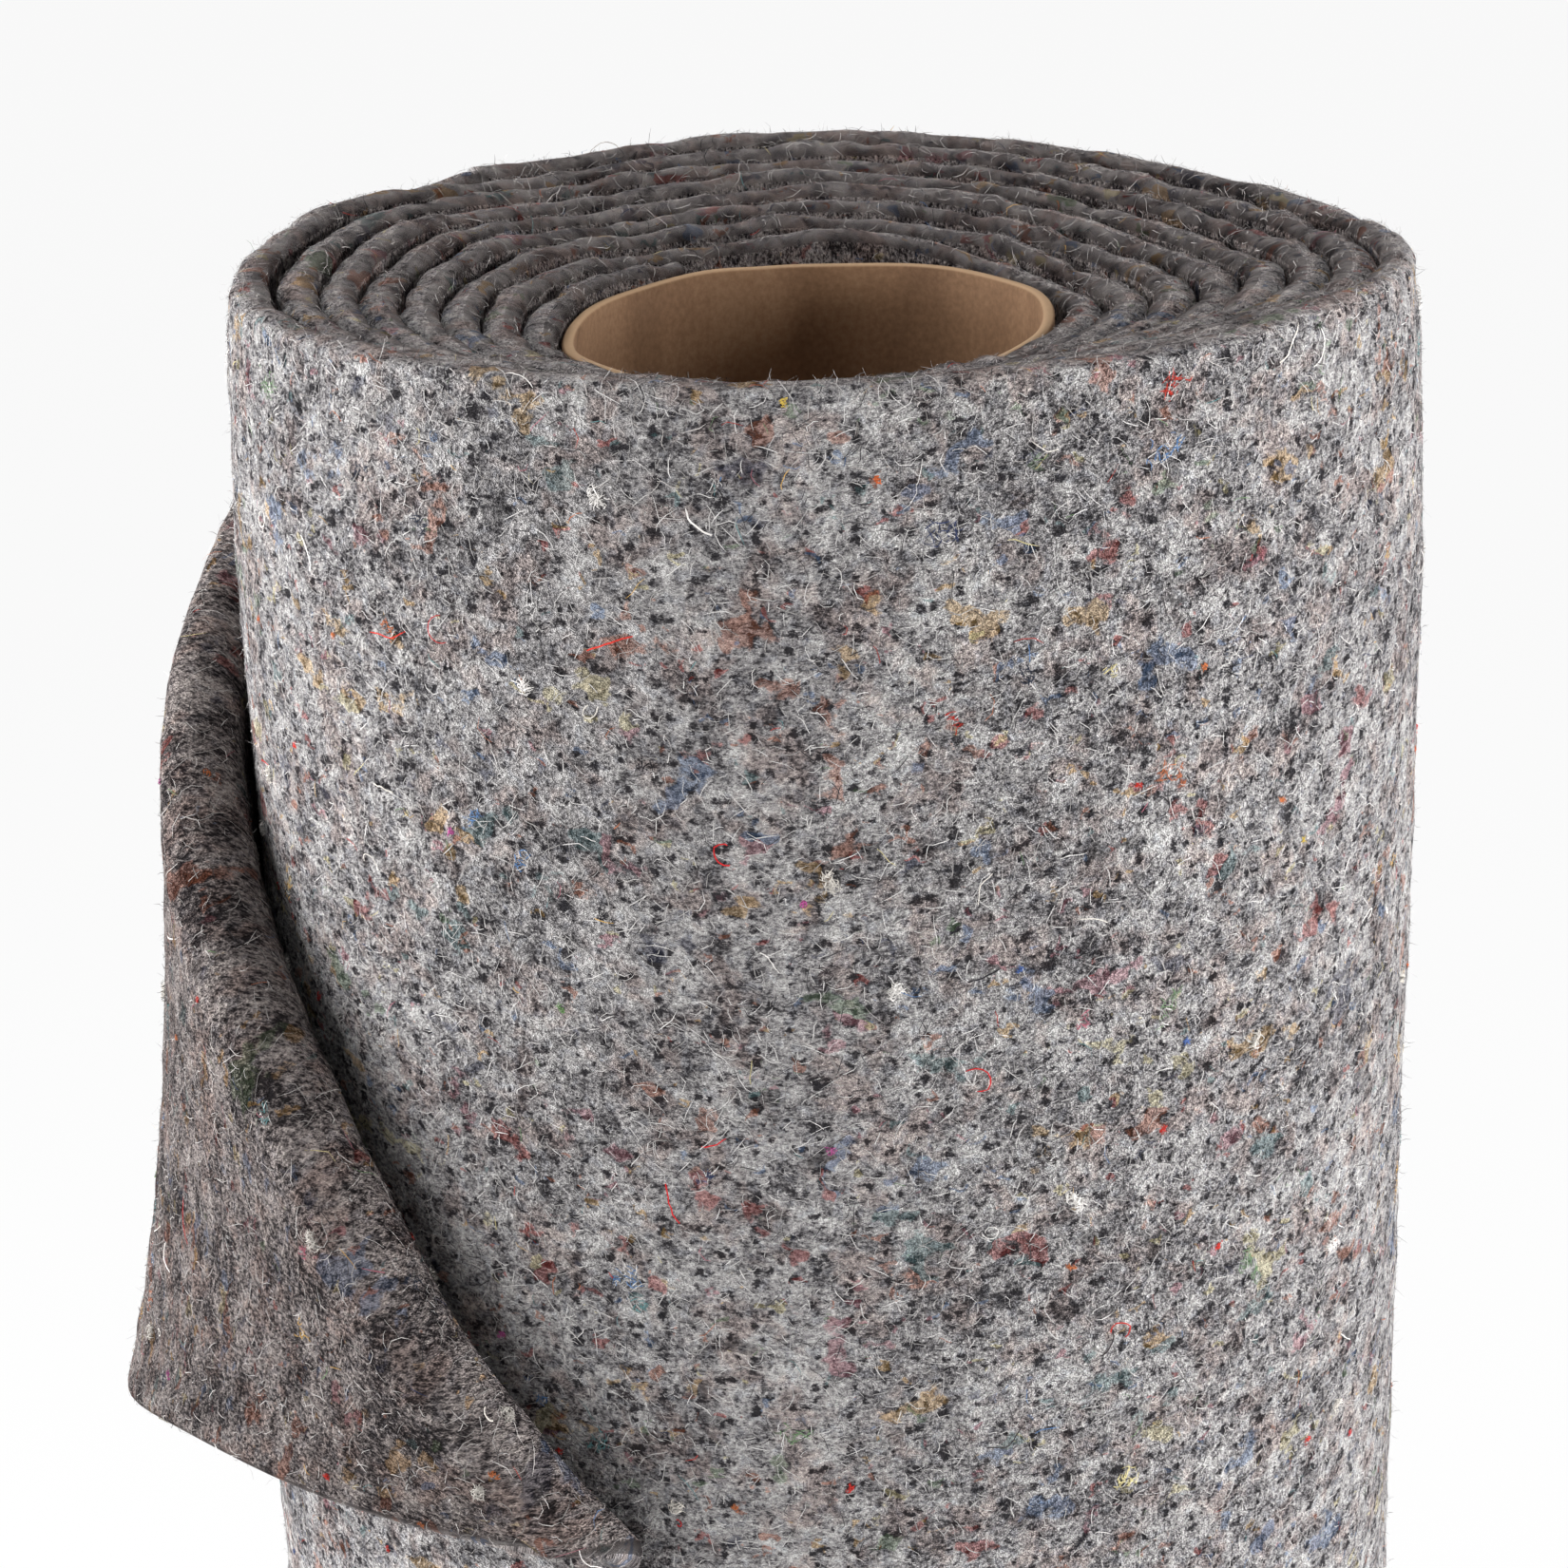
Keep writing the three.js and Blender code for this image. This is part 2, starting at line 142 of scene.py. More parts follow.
def smooth(rows, column, at):
    """Smooth values from a table's column, at places along its first column."""
    x = rows[:, 0].astype(float)
    y = rows[:, column].astype(float)
    at = np.clip(np.asarray(at, float), x[0], x[-1])
    j = np.clip(np.searchsorted(x, at, side="right") - 1, 0, len(x) - 2)
    before = np.maximum(np.arange(len(x)) - 1, 0)
    after = np.minimum(np.arange(len(x)) + 1, len(x) - 1)
    slope = (y[after] - y[before]) / (x[after] - x[before])
    width = x[j + 1] - x[j]
    t = (at - x[j]) / width
    h = t * t * (3 - 2 * t)
    return (
        y[j] * (1 - h) + y[j + 1] * h
        + width * (slope[j] * t * (1 - t) ** 2 - slope[j + 1] * t * t * (1 - t))
    )


def hashed(i, j, seed):
    """A number from 0 to 1 for each lattice point."""
    n = (i.astype(np.int64) * 374761393 + j.astype(np.int64) * 668265263 + seed * 69069) & 0xFFFFFFFF
    n = ((n ^ (n >> 13)) * 1274126177) & 0xFFFFFFFF
    n = (n ^ (n >> 16)) & 0xFFFFFF
    return n / float(0xFFFFFF)


def lumps(u, v, size, seed):
    """Smooth noise from -1 to 1 over flat cloth, with lumps about size across."""
    x, y = np.asarray(u) / size, np.asarray(v) / size
    x, y = np.broadcast_arrays(x, y)
    i, j = np.floor(x), np.floor(y)
    fx, fy = x - i, y - j
    fx, fy = fx * fx * (3 - 2 * fx), fy * fy * (3 - 2 * fy)
    a, b = hashed(i, j, seed), hashed(i + 1, j, seed)
    c, d = hashed(i, j + 1, seed), hashed(i + 1, j + 1, seed)
    return 2 * ((a * (1 - fx) + b * fx) * (1 - fy) + (c * (1 - fx) + d * fx) * fy) - 1


def layered(u, v, layers):
    """Several layers of lumps together."""
    return sum(height * lumps(u, v, size, seed) for height, size, seed in layers)


# The wound form, as in the solids

def tube_radius(bearing):
    axis = np.radians(TUBE_LONG_AXIS)
    turn = np.radians(bearing) - axis
    along = TUBE_CENTRE[0] * np.cos(axis) + TUBE_CENTRE[1] * np.sin(axis)
    across = TUBE_CENTRE[1] * np.cos(axis) - TUBE_CENTRE[0] * np.sin(axis)
    p, q = np.cos(turn) / TUBE_HALF_LENGTH, np.sin(turn) / TUBE_HALF_WIDTH
    p0, q0 = along / TUBE_HALF_LENGTH, across / TUBE_HALF_WIDTH
    a, b, c = p * p + q * q, p * p0 + q * q0, p0 * p0 + q0 * q0 - 1
    radius = (b + np.sqrt(b * b - a * c)) / a
    for at, depth, spread in TUBE_DENTS:
        off = (np.mod(bearing - at + 180, 360) - 180) / spread
        radius = radius - depth * np.exp(-off * off)
    return radius


def outer_face(winding):
    return smooth(OUTER_TURNS, 1, winding - 360 * (WHOLE_TURNS - 1))


def turn_faces(winding):
    """Inner and outer radius of the cloth at winding angles that run on from START."""
    wound = winding - START
    turn = np.floor(wound / 360 + 1e-9)
    part = wound / 360 - turn
    rim = turn >= WHOLE_TURNS - 1
    outer = outer_face(np.where(rim, winding, START + 360 * (part + WHOLE_TURNS - 1)))
    climb = part ** FIRST_TURN_HUG
    start = tube_radius(winding) + PIECE_GAP
    slack = smooth(OUTER_TURNS, 2, START + 360 * part)
    pitch = (outer - FELT_THICKNESS - slack - start) / (WHOLE_TURNS - 1 + climb)
    inner = start + pitch * (turn + climb)
    return np.where(rim, outer - FELT_THICKNESS, inner), np.where(rim, outer, inner + pitch - TURN_GAP)


def top_edge(winding):
    turns = np.minimum((winding - START) / 360, WHOLE_TURNS)
    return ROLL_HEIGHT + smooth(RIM_WAVE, 1, np.mod(winding, 360)) - DISH * (1 - turns / WHOLE_TURNS)


def lean(z):
    return smooth(WALL_LEAN, 1, ROLL_HEIGHT - z)


def arc_length(winding):
    """Length of cloth wound up to each winding angle."""
    w = np.arange(START, TAIL + 360 * WHOLE_TURNS + 1, 1.0)
    inner, outer = turn_faces(w)
    step = (inner + outer) / 2 * np.radians(1.0)
    length = np.concatenate([[0], np.cumsum((step[1:] + step[:-1]) / 2)])
    return np.interp(winding, w, length)


def place(bearing, radius, z):
    b = np.radians(bearing)
    return np.stack([radius * np.cos(b), radius * np.sin(b), z], axis=-1)


# Meshes

def new_mesh(name, points, quads, uv, side, material, cuts=0):
    """An object from points in millimetres round the roll's axis, with its flat cloth map. Its last
    faces, as many as there are in its cuts, are shaded flat."""
    mesh = bpy.data.meshes.new(name)
    count = len(points)
    mesh.vertices.add(count)
    mesh.vertices.foreach_set("co", (points * MM + AXIS).astype(np.float32).ravel())
    size = quads.shape[1]
    mesh.loops.add(quads.size)
    mesh.loops.foreach_set("vertex_index", quads.astype(np.int32).ravel())
    mesh.polygons.add(len(quads))
    mesh.polygons.foreach_set("loop_start", np.arange(0, quads.size, size, dtype=np.int32))
    mesh.update(calc_edges=True)
    if uv is not None:
        layer = mesh.uv_layers.new(name="Flat")
        layer.data.foreach_set("uv", (uv[quads.ravel()] * MM).astype(np.float32).ravel())
    if side is not None:
        layer = mesh.attributes.new("side", "FLOAT", "POINT")
        layer.data.foreach_set("value", side.astype(np.float32))
    mesh.polygons.foreach_set("use_smooth", np.arange(len(quads)) < len(quads) - cuts)
    mesh.validate(clean_customdata=False)
    obj = bpy.data.objects.new(name, mesh)
    bpy.context.scene.collection.objects.link(obj)
    mesh.materials.append(material)
    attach(obj, "root")
    return obj


def grid_quads(rows, count, closed=False):
    """Quads of a grid of rows by count points, the rows' ends joined if closed."""
    i = np.arange(rows - 1)[:, None] * count
    j = np.arange(count if closed else count - 1)[None, :]
    k = (j + 1) % count
    return np.stack([i + j, i + count + j, i + count + k, i + k], -1).reshape(-1, 4)


def cap_quads(start, count):
    """Quads that close a ring of an even number of points, front to back."""
    half = count // 2
    j = np.arange(half - 1)
    return np.stack([start + j, start + j + 1, start + count - 2 - j, start + count - 1 - j], -1)


def outer_lumps(u, v, winding):
    """Small lumps of the outer face, flat where the loose end joins on."""
    joint = np.exp(-((winding - SPLIT - 360 * WHOLE_TURNS) / JOINT_SPREAD) ** 2)
    return layered(u, v, OUTER_LUMPS) * (1 - joint)


def near_bearing(winding, bearing, spread):
    """From 1 at a bearing down to 0 away from it."""
    return np.exp(-((np.mod(winding, 360) - bearing) / spread) ** 2)


def wound_sheet(name, windings, outer_rows, inner_rows, rounding, material):
    """A stretch of the wound felt: up its outer face by rows of depths, over its top edge, and
    down its inner face."""
    inner, outer = turn_faces(windings)
    u = arc_length(windings)
    w = windings[:, None]
    u2 = u[:, None]
    rim = windings >= RIM_START
    waves = np.where(rim, RIM_WAVE_SHARE, 1.0) * layered(u, u * 0, RIM_LUMPS)
    top = (top_edge(windings) + waves)[:, None]
    at_back = near_bearing(windings, BACK, BACK_SPREAD)
    at_front = near_bearing(windings, FRONT, FRONT_SPREAD)
    inner_pinch = INNER_PINCH + layered(u, u * 0, PINCH_LUMPS)
    inner_pinch = inner_pinch + BACK_PINCH * at_back + FRONT_PINCH * at_front
    pinch = np.where(rim, RIM_PINCH, inner_pinch)[:, None]
    edge = rounding * (1 + FRONT_ROUNDING * at_front + BACK_ROUNDING * at_back)[:, None]
    # outer face, from the floor up
    z_out = np.maximum(top - edge - outer_rows[None, ::-1], 0)
    r_out = np.broadcast_to(outer[:, None], z_out.shape)
    # over the top
    turn = np.linspace(0, np.pi, 10)[1:-1]
    mid, half = (inner + outer) / 2, (outer - inner) / 2
    z_top = top - edge + edge * np.sin(turn)[None, :] ** ROUNDING_POWER
    r_top = mid[:, None] + (half[:, None] - pinch) * np.cos(turn)[None, :]
    # inner face, down to the floor
    z_in = np.maximum(top - edge - inner_rows[None, :], 0)
    r_in = np.broadcast_to(inner[:, None], z_in.shape)
    near_out = np.exp(-((top - z_out) / PINCH_DEPTH) ** 2) * pinch
    near_in = np.exp(-((top - z_in) / PINCH_DEPTH) ** 2) * pinch
    z = np.concatenate([z_out, z_top, z_in], 1)
    r = np.concatenate([r_out - near_out, r_top, r_in + near_in], 1)
    step = np.hypot(np.diff(z, axis=1), np.diff(r, axis=1))
    p = z[:, :1] + np.concatenate([np.zeros((len(windings), 1)), np.cumsum(step, 1)], 1)
    n_out, n_top = z_out.shape[1], len(turn)
    side = np.concatenate([
        np.zeros(n_out), np.linspace(0, 1, n_top + 2)[1:-1], np.ones(z_in.shape[1])
    ])
    face = np.concatenate([np.ones(n_out), np.cos(turn), -np.ones(z_in.shape[1])])
    # lumps, higher at the top edge
    bump = outer_lumps(u2, p, w)
    extra = np.where(rim, RIM_EXTRA, INNER_EXTRA)[:, None]
    bump = bump * (1 + extra * np.exp(-((top - z) / EXTRA_DEPTH) ** 2))
    r = r + bump * face[None, :] * np.clip(z / LUMPLESS_FOOT, 0, 1)
    z = z + TOP_SHARE * bump * np.sqrt(1 - face[None, :] ** 2)
    r = r + np.where(rim, 1.0, 0.0)[:, None] * lean(z)
    points = place(np.broadcast_to(w, z.shape), r, z)
    rows, count = z.shape
    quads = grid_quads(rows, count, closed=True)
    ends = np.concatenate([cap_quads(0, count), cap_quads((rows - 1) * count, count)[:, ::-1]])
    quads = np.concatenate([quads, ends])
    uv = np.stack([np.broadcast_to(u2, z.shape), p], -1)
    side = np.broadcast_to(side[None, :], z.shape).reshape(-1)
    return new_mesh(
        name, points.reshape(-1, 3), quads, uv.reshape(-1, 2), side, material, cuts=len(ends)
    )


def loose_middle(bearing, z, lift):
    return outer_face(bearing + 360 * WHOLE_TURNS) - FELT_THICKNESS / 2 + lean(z) + lift


def corner_reach(share):
    fold = np.hypot(CORNER_SELVEDGE, CORNER_CUT_END)
    foot = CORNER_SELVEDGE ** 2 / fold ** 2
    high = CORNER_SELVEDGE * CORNER_CUT_END / fold
    return high * np.maximum(0, np.minimum(share / foot, (1 - share) / (1 - foot)))


def loose_sheet(name, material):
    """The loose end with its folded corner, as one thick soft sheet with rounded free edges."""
    half = FELT_THICKNESS / 2
    edge_steps = np.array([half, *EDGE_STEPS])
    tail = TAIL - np.degrees(edge_steps / LOOSE_RADIUS)
    bearings = np.concatenate([
        [SPLIT + 0.01], np.linspace(SPLIT + 0.05, FOLD[0, 0], 5)[:-1],
        np.linspace(FOLD[0, 0], tail[0], 66)[:-1], tail,
    ])
    from_tail = (TAIL - bearings) * np.radians(1) * LOOSE_RADIUS
    share, depth, lift, bend, fall, stand = (smooth(FOLD, k, bearings) for k in range(1, 7))
    share = np.clip(share, 0, 1)
    foot = ROLL_HEIGHT + smooth(RIM_WAVE, 1, bearings) - depth
    u = arc_length(bearings + 360 * WHOLE_TURNS)
    reach = corner_reach(share)
    # heights under the fold
    low = np.append(np.linspace(0, 640, 74), np.arange(649, PLAIN_HEIGHT + 1, 9.0)) / PLAIN_HEIGHT
    high = np.linspace(0, 1, 92)[1:]
    base_z = np.minimum(PLAIN_HEIGHT, foot - FOLD_ROOM)
    z_wall = np.concatenate([
        base_z[:, None] * low[None, :], base_z[:, None] + (foot - base_z)[:, None] * high[None, :]
    ], 1)
    lifted = np.clip(1 - (foot[:, None] - z_wall) / LIFT_ROOM, 0, 1)
    lifted = lifted * lifted * (3 - 2 * lifted) * lift[:, None]
    r_wall = loose_middle(bearings[:, None], z_wall, lifted)
    wall = place(np.broadcast_to(bearings[:, None], z_wall.shape), r_wall, z_wall)
    # round the bend and down the corner
    round_part = np.linspace(0, 1, 13)[1:]
    hang_part = np.linspace(0, 1, 44)[1:-1]
    rounded = np.minimum(reach, np.pi * bend)
    rest = reach - rounded
    plain = np.where(rest > SHORT_CORNER, (rest - half) / np.maximum(rest, 1), 0)
    hang = rest[:, None] * hang_part[None, :] * plain[:, None]
    last = np.maximum(rest[:, None] - edge_steps[None, :], 0)
    past = np.concatenate([np.zeros((len(bearings), len(round_part))), hang, last], 1)
    rnd = np.concatenate([
        rounded[:, None] * round_part[None, :],
        np.broadcast_to(rounded[:, None], (len(bearings), len(hang_part) + len(edge_steps))),
    ], 1)
    angle = rnd / bend[:, None]
    full = np.maximum(1, reach - np.pi * bend)[:, None]
    flare = stand[:, None] * (past / full) ** FLARE
    back = past - bend[:, None] * np.sin(angle)
    slope = np.radians(fall)[:, None]
    start = loose_middle(bearings, foot, lift)[:, None]
    r_hang = start + bend[:, None] * (1 - np.cos(angle)) + flare
    turned = np.degrees(back * np.cos(slope) / r_hang)
    corner = place(bearings[:, None] - turned, r_hang, foot[:, None] - back * np.sin(slope))
    points = np.concatenate([wall, corner], 1)
    # flat places of the cloth
    along = np.array([CORNER_SELVEDGE, -CORNER_CUT_END])
    along = along / np.hypot(*along)
    over = np.array([-along[1], along[0]])
    path = rnd + past
    uv_wall = np.stack([np.broadcast_to(u[:, None], z_wall.shape), z_wall], -1)
    uv_corner = np.stack([u[:, None] + over[0] * path, foot[:, None] + over[1] * path], -1)
    uv = np.concatenate([uv_wall, uv_corner], 1)
    # half thickness, thinning to the free edges
    far = np.concatenate([
        foot[:, None] - z_wall + reach[:, None], np.maximum(reach[:, None] - path, 0)
    ], 1)
    near = np.minimum(far, from_tail[:, None])
    inside = np.clip(near / half, 0, 1)
    thick = half * np.sqrt(np.clip(1 - (1 - inside) ** 2, 0, 1))
    normal = sheet_normals(points)
    normal[:, 0] *= np.array([1, 1, 0])
    normal[:2] = place(bearings[:2], np.ones(2), np.zeros(2))[:, None]
    normal /= np.linalg.norm(normal, axis=2, keepdims=True)
    bump_out = outer_lumps(uv[..., 0], uv[..., 1], bearings[:, None] + 360 * WHOLE_TURNS)
    bump_in = layered(uv[..., 0], uv[..., 1], REVERSE_LUMPS)
    fade = np.clip(near / CALM_EDGE, 0, 1) * np.clip(points[..., 2] / LUMPLESS_FOOT, 0, 1)
    front = points + normal * (thick + bump_out * fade)[..., None]
    behind = points - normal * (thick + bump_in * fade)[..., None]
    rows, count = points.shape[:2]
    total = rows * count
    q = grid_quads(rows, count)
    rim_i = np.arange(rows - 1)
    rim_j = np.arange(count - 1)
    def border(a, b):
        return np.stack([a, b, b + total, a + total], -1)
    quads = np.concatenate([
        q, q[:, ::-1] + total,
        border((rim_i + 1) * count, rim_i * count),
        border(rim_i * count + count - 1, (rim_i + 1) * count + count - 1),
        border((rows - 1) * count + rim_j + 1, (rows - 1) * count + rim_j),
        border(rim_j, rim_j + 1),
    ])
    all_points = np.concatenate([front.reshape(-1, 3), behind.reshape(-1, 3)])
    side = np.concatenate([np.zeros(total), np.ones(total)])
    edge = np.concatenate([inside.reshape(-1)] * 2)
    side = 0.5 + (side - 0.5) * np.clip(edge * 1.3, 0, 1)
    uv = np.concatenate([uv.reshape(-1, 2)] * 2)
    return new_mesh(name, all_points, quads, uv, side, material, cuts=count - 1)


def sheet_normals(points):
    """The directions out of a grid of points, from far enough neighbours."""
    def smear(a, axis):
        d = np.diff(a, axis=axis)
        pad = [(0, 0)] * 3
        pad[axis] = (1, 0)
        before = np.pad(d, pad)
        pad[axis] = (0, 1)
        return before + np.pad(d, pad)
    across, up = smear(points, 0), smear(points, 1)
    # columns whose points coincide take the direction of the nearest good one
    for axis, vec in ((0, across), (1, up)):
        size = np.linalg.norm(vec, axis=2)
        for i in range(vec.shape[0]):
            good = np.nonzero(size[i] > 0.02)[0]
            if len(good) and len(good) < vec.shape[1]:
                bad = np.nonzero(size[i] <= 0.02)[0]
                nearest = good[np.abs(bad[:, None] - good[None, :]).argmin(1)]
                vec[i, bad] = vec[i, nearest]
    normal = np.cross(across, up)
    size = np.linalg.norm(normal, axis=2, keepdims=True)
    return normal / np.maximum(size, 1e-9)


def tube_mesh(name, material):
    """The cardboard tube, with softened rims."""
    bearings = np.arange(0, 360, TUBE_STEP)
    outer = tube_radius(bearings)
    top = ROLL_HEIGHT - TUBE_DROP
    soft = TUBE_ROUNDING
    # distance in from the outer face, height
    rows = [
        (0.0, 0.0), (0, soft), (0, 8), (0, top - 40), (0, top - 8), (0, top - soft), (soft, top),
        (TUBE_WALL - soft, top), (TUBE_WALL, top - soft), (TUBE_WALL, top - 8),
        (TUBE_WALL, top - 40), (TUBE_WALL, top - 120), (TUBE_WALL, 8), (TUBE_WALL, 0),
    ]
    wave = 0.35 * np.sin(np.radians(3 * bearings + 40)) + 0.2 * np.sin(np.radians(7 * bearings))
    rings, uv, side = [], [], []
    length = np.concatenate([[0], np.cumsum(outer * np.radians(TUBE_STEP))])[:-1]
    for inset, z in rows:
        rise = wave if z > top - 2 else 0 * wave
        rings.append(place(bearings, outer - inset, np.clip(z + rise, 0, None)))
        uv.append(np.stack([length, np.full(len(length), z + inset)], -1))
        side.append(np.full(len(length), 1.0 if z > top - 0.1 else 0.0))
    points = np.concatenate(rings)
    quads = grid_quads(len(rows), len(bearings), closed=True)[:, ::-1]
    close = np.arange(len(bearings))
    nxt = (close + 1) % len(bearings)
    last = (len(rows) - 1) * len(bearings)
    quads = np.concatenate([quads, np.stack([close, last + close, last + nxt, nxt], -1)[:, ::-1]])
    uv, side = np.concatenate(uv), np.concatenate(side)
    return new_mesh(name, points, quads, uv, side, material)


# Materials

def linear(r, g, b):
    c = np.array([r, g, b]) / 255.0
    return tuple(np.where(c <= 0.04045, c / 12.92, ((c + 0.055) / 1.055) ** 2.4)) + (1.0,)


class Nodes:
    """Short calls for building a material's nodes."""

    def __init__(self, name):
        self.material = bpy.data.materials.new(name)
        self.material.use_nodes = True
        self.tree = self.material.node_tree
        self.tree.nodes.clear()
        self.out = self.tree.nodes.new("ShaderNodeOutputMaterial")
        self.shader = self.tree.nodes.new("ShaderNodeBsdfPrincipled")
        self.tree.links.new(self.shader.outputs[0], self.out.inputs[0])

    def put(self, socket, value):
        if isinstance(value, bpy.types.NodeSocket):
            self.tree.links.new(value, socket)
        else:
            socket.default_value = value

    def math(self, operation, a, b=0.0, c=0.0):
        n = self.tree.nodes.new("ShaderNodeMath")
        n.operation = operation
        for i, value in enumerate((a, b, c)):
            self.put(n.inputs[i], value)
        return n.outputs[0]

    def add(self, base, value, strength):
        """The base plus how far a value is from one half, times a strength."""
        return self.math("MULTIPLY_ADD", self.math("SUBTRACT", value, 0.5), strength, base)

    def range(self, value, low, high, to_low=0.0, to_high=1.0, smoothly=True):
        n = self.tree.nodes.new("ShaderNodeMapRange")
        n.interpolation_type = "SMOOTHSTEP" if smoothly else "LINEAR"
        for i, v in enumerate((value, low, high, to_low, to_high)):
            self.put(n.inputs[i], v)
        return n.outputs[0]

    def noise(self, vector, scale, detail=2.0, rough=0.5, distortion=0.0, dims="2D"):
        n = self.tree.nodes.new("ShaderNodeTexNoise")
        n.noise_dimensions = dims
        self.put(n.inputs["Vector"], vector)
        n.inputs["Scale"].default_value = scale
        n.inputs["Detail"].default_value = detail
        n.inputs["Roughness"].default_value = rough
        n.inputs["Distortion"].default_value = distortion
        return n

    def cells(self, vector, scale):
        n = self.tree.nodes.new("ShaderNodeTexVoronoi")
        n.voronoi_dimensions = "2D"
        self.put(n.inputs["Vector"], vector)
        n.inputs["Scale"].default_value = scale
        return n

    def moved(self, vector, scale=(1, 1, 1), offset=(0, 0, 0), turn=0.0):
        n = self.tree.nodes.new("ShaderNodeMapping")
        self.put(n.inputs["Vector"], vector)
        n.inputs["Location"].default_value = offset
        n.inputs["Rotation"].default_value = (0, 0, turn)
        n.inputs["Scale"].default_value = scale
        return n.outputs[0]

    def vector(self, operation, a, b, c=(0, 0, 0)):
        n = self.tree.nodes.new("ShaderNodeVectorMath")
        n.operation = operation
        for i, value in enumerate((a, b, c)):
            self.put(n.inputs[i], value)
        return n.outputs[0]

    def scaled(self, vector, factor):
        n = self.tree.nodes.new("ShaderNodeVectorMath")
        n.operation = "SCALE"
        self.put(n.inputs[0], vector)
        self.put(n.inputs[3], factor)
        return n.outputs[0]

    def ramp(self, value, stops, constant=False):
        n = self.tree.nodes.new("ShaderNodeValToRGB")
        n.color_ramp.interpolation = "CONSTANT" if constant else "LINEAR"
        elements = n.color_ramp.elements
        while len(elements) < len(stops):
            elements.new(0.5)
        for e, (at, colour) in zip(elements, stops):
            e.position = at
            e.color = colour
        self.put(n.inputs[0], value)
        return n.outputs[0]

    def dyed(self, factor, a, base, dye):
        """The colour a, mixed by a factor with the base colour times a dye."""
        return self.mix(factor, a, self.mix(1.0, base, linear(*dye), "MULTIPLY"))

    def mix(self, factor, a, b, blend="MIX"):
        n = self.tree.nodes.new("ShaderNodeMix")
        n.data_type = "RGBA"
        n.blend_type = blend
        self.put(n.inputs[0], factor)
        self.put(n.inputs[6], a)
        self.put(n.inputs[7], b)
        return n.outputs[2]

    def length(self, vector):
        n = self.tree.nodes.new("ShaderNodeVectorMath")
        n.operation = "LENGTH"
        self.put(n.inputs[0], vector)
        return n.outputs["Value"]

    def split(self, colour):
        n = self.tree.nodes.new("ShaderNodeSeparateColor")
        self.put(n.inputs[0], colour)
        return n.outputs

    def bump(self, height, strength, distance):
        n = self.tree.nodes.new("ShaderNodeBump")
        n.inputs["Strength"].default_value = strength
        n.inputs["Distance"].default_value = distance
        self.put(n.inputs["Height"], height)
        self.put(self.shader.inputs["Normal"], n.outputs[0])

    def attribute(self, name):
        n = self.tree.nodes.new("ShaderNodeAttribute")
        n.attribute_name = name
        return n

    def flat_mm(self):
        """Places on the flat cloth or card, in millimetres."""
        n = self.tree.nodes.new("ShaderNodeUVMap")
        n.uv_map = "Flat"
        return self.vector("MULTIPLY", n.outputs[0], (1000, 1000, 0))


# Dyes in the recycled fibre, and where each one's share begins in a throw from 0 to 1
DYES = [
    (0.00, (176, 58, 48)), (0.10, (178, 104, 68)), (0.26, (206, 164, 92)), (0.38, (214, 202, 150)),
    (0.48, (92, 124, 166)), (0.62, (56, 64, 94)), (0.70, (112, 140, 104)), (0.76, (96, 136, 138)),
    (0.82, (176, 106, 120)), (0.90, (40, 38, 42)),
]

# Needle holes in one repeat of the needling, in millimetres along and across the cloth, and how
# much smaller than the largest each one is
NEEDLE_REPEAT = (13.1, 6.82)
NEEDLES = [
    (11.4, -0.3, 0.0), (11.5, -5.3, 0.2), (7.9, -2.4, 0.15), (6.6, -2.9, 0.15), (7.1, -4.6, 0.35),
    (3.5, -6.2, 0.15), (5.0, -6.1, 0.4), (2.9, -1.6, 0.4), (1.9, -3.2, 0.5), (0.4, -4.9, 0.3),
    (9.1, -5.6, 0.5), (12.5, -2.4, 0.5),
]


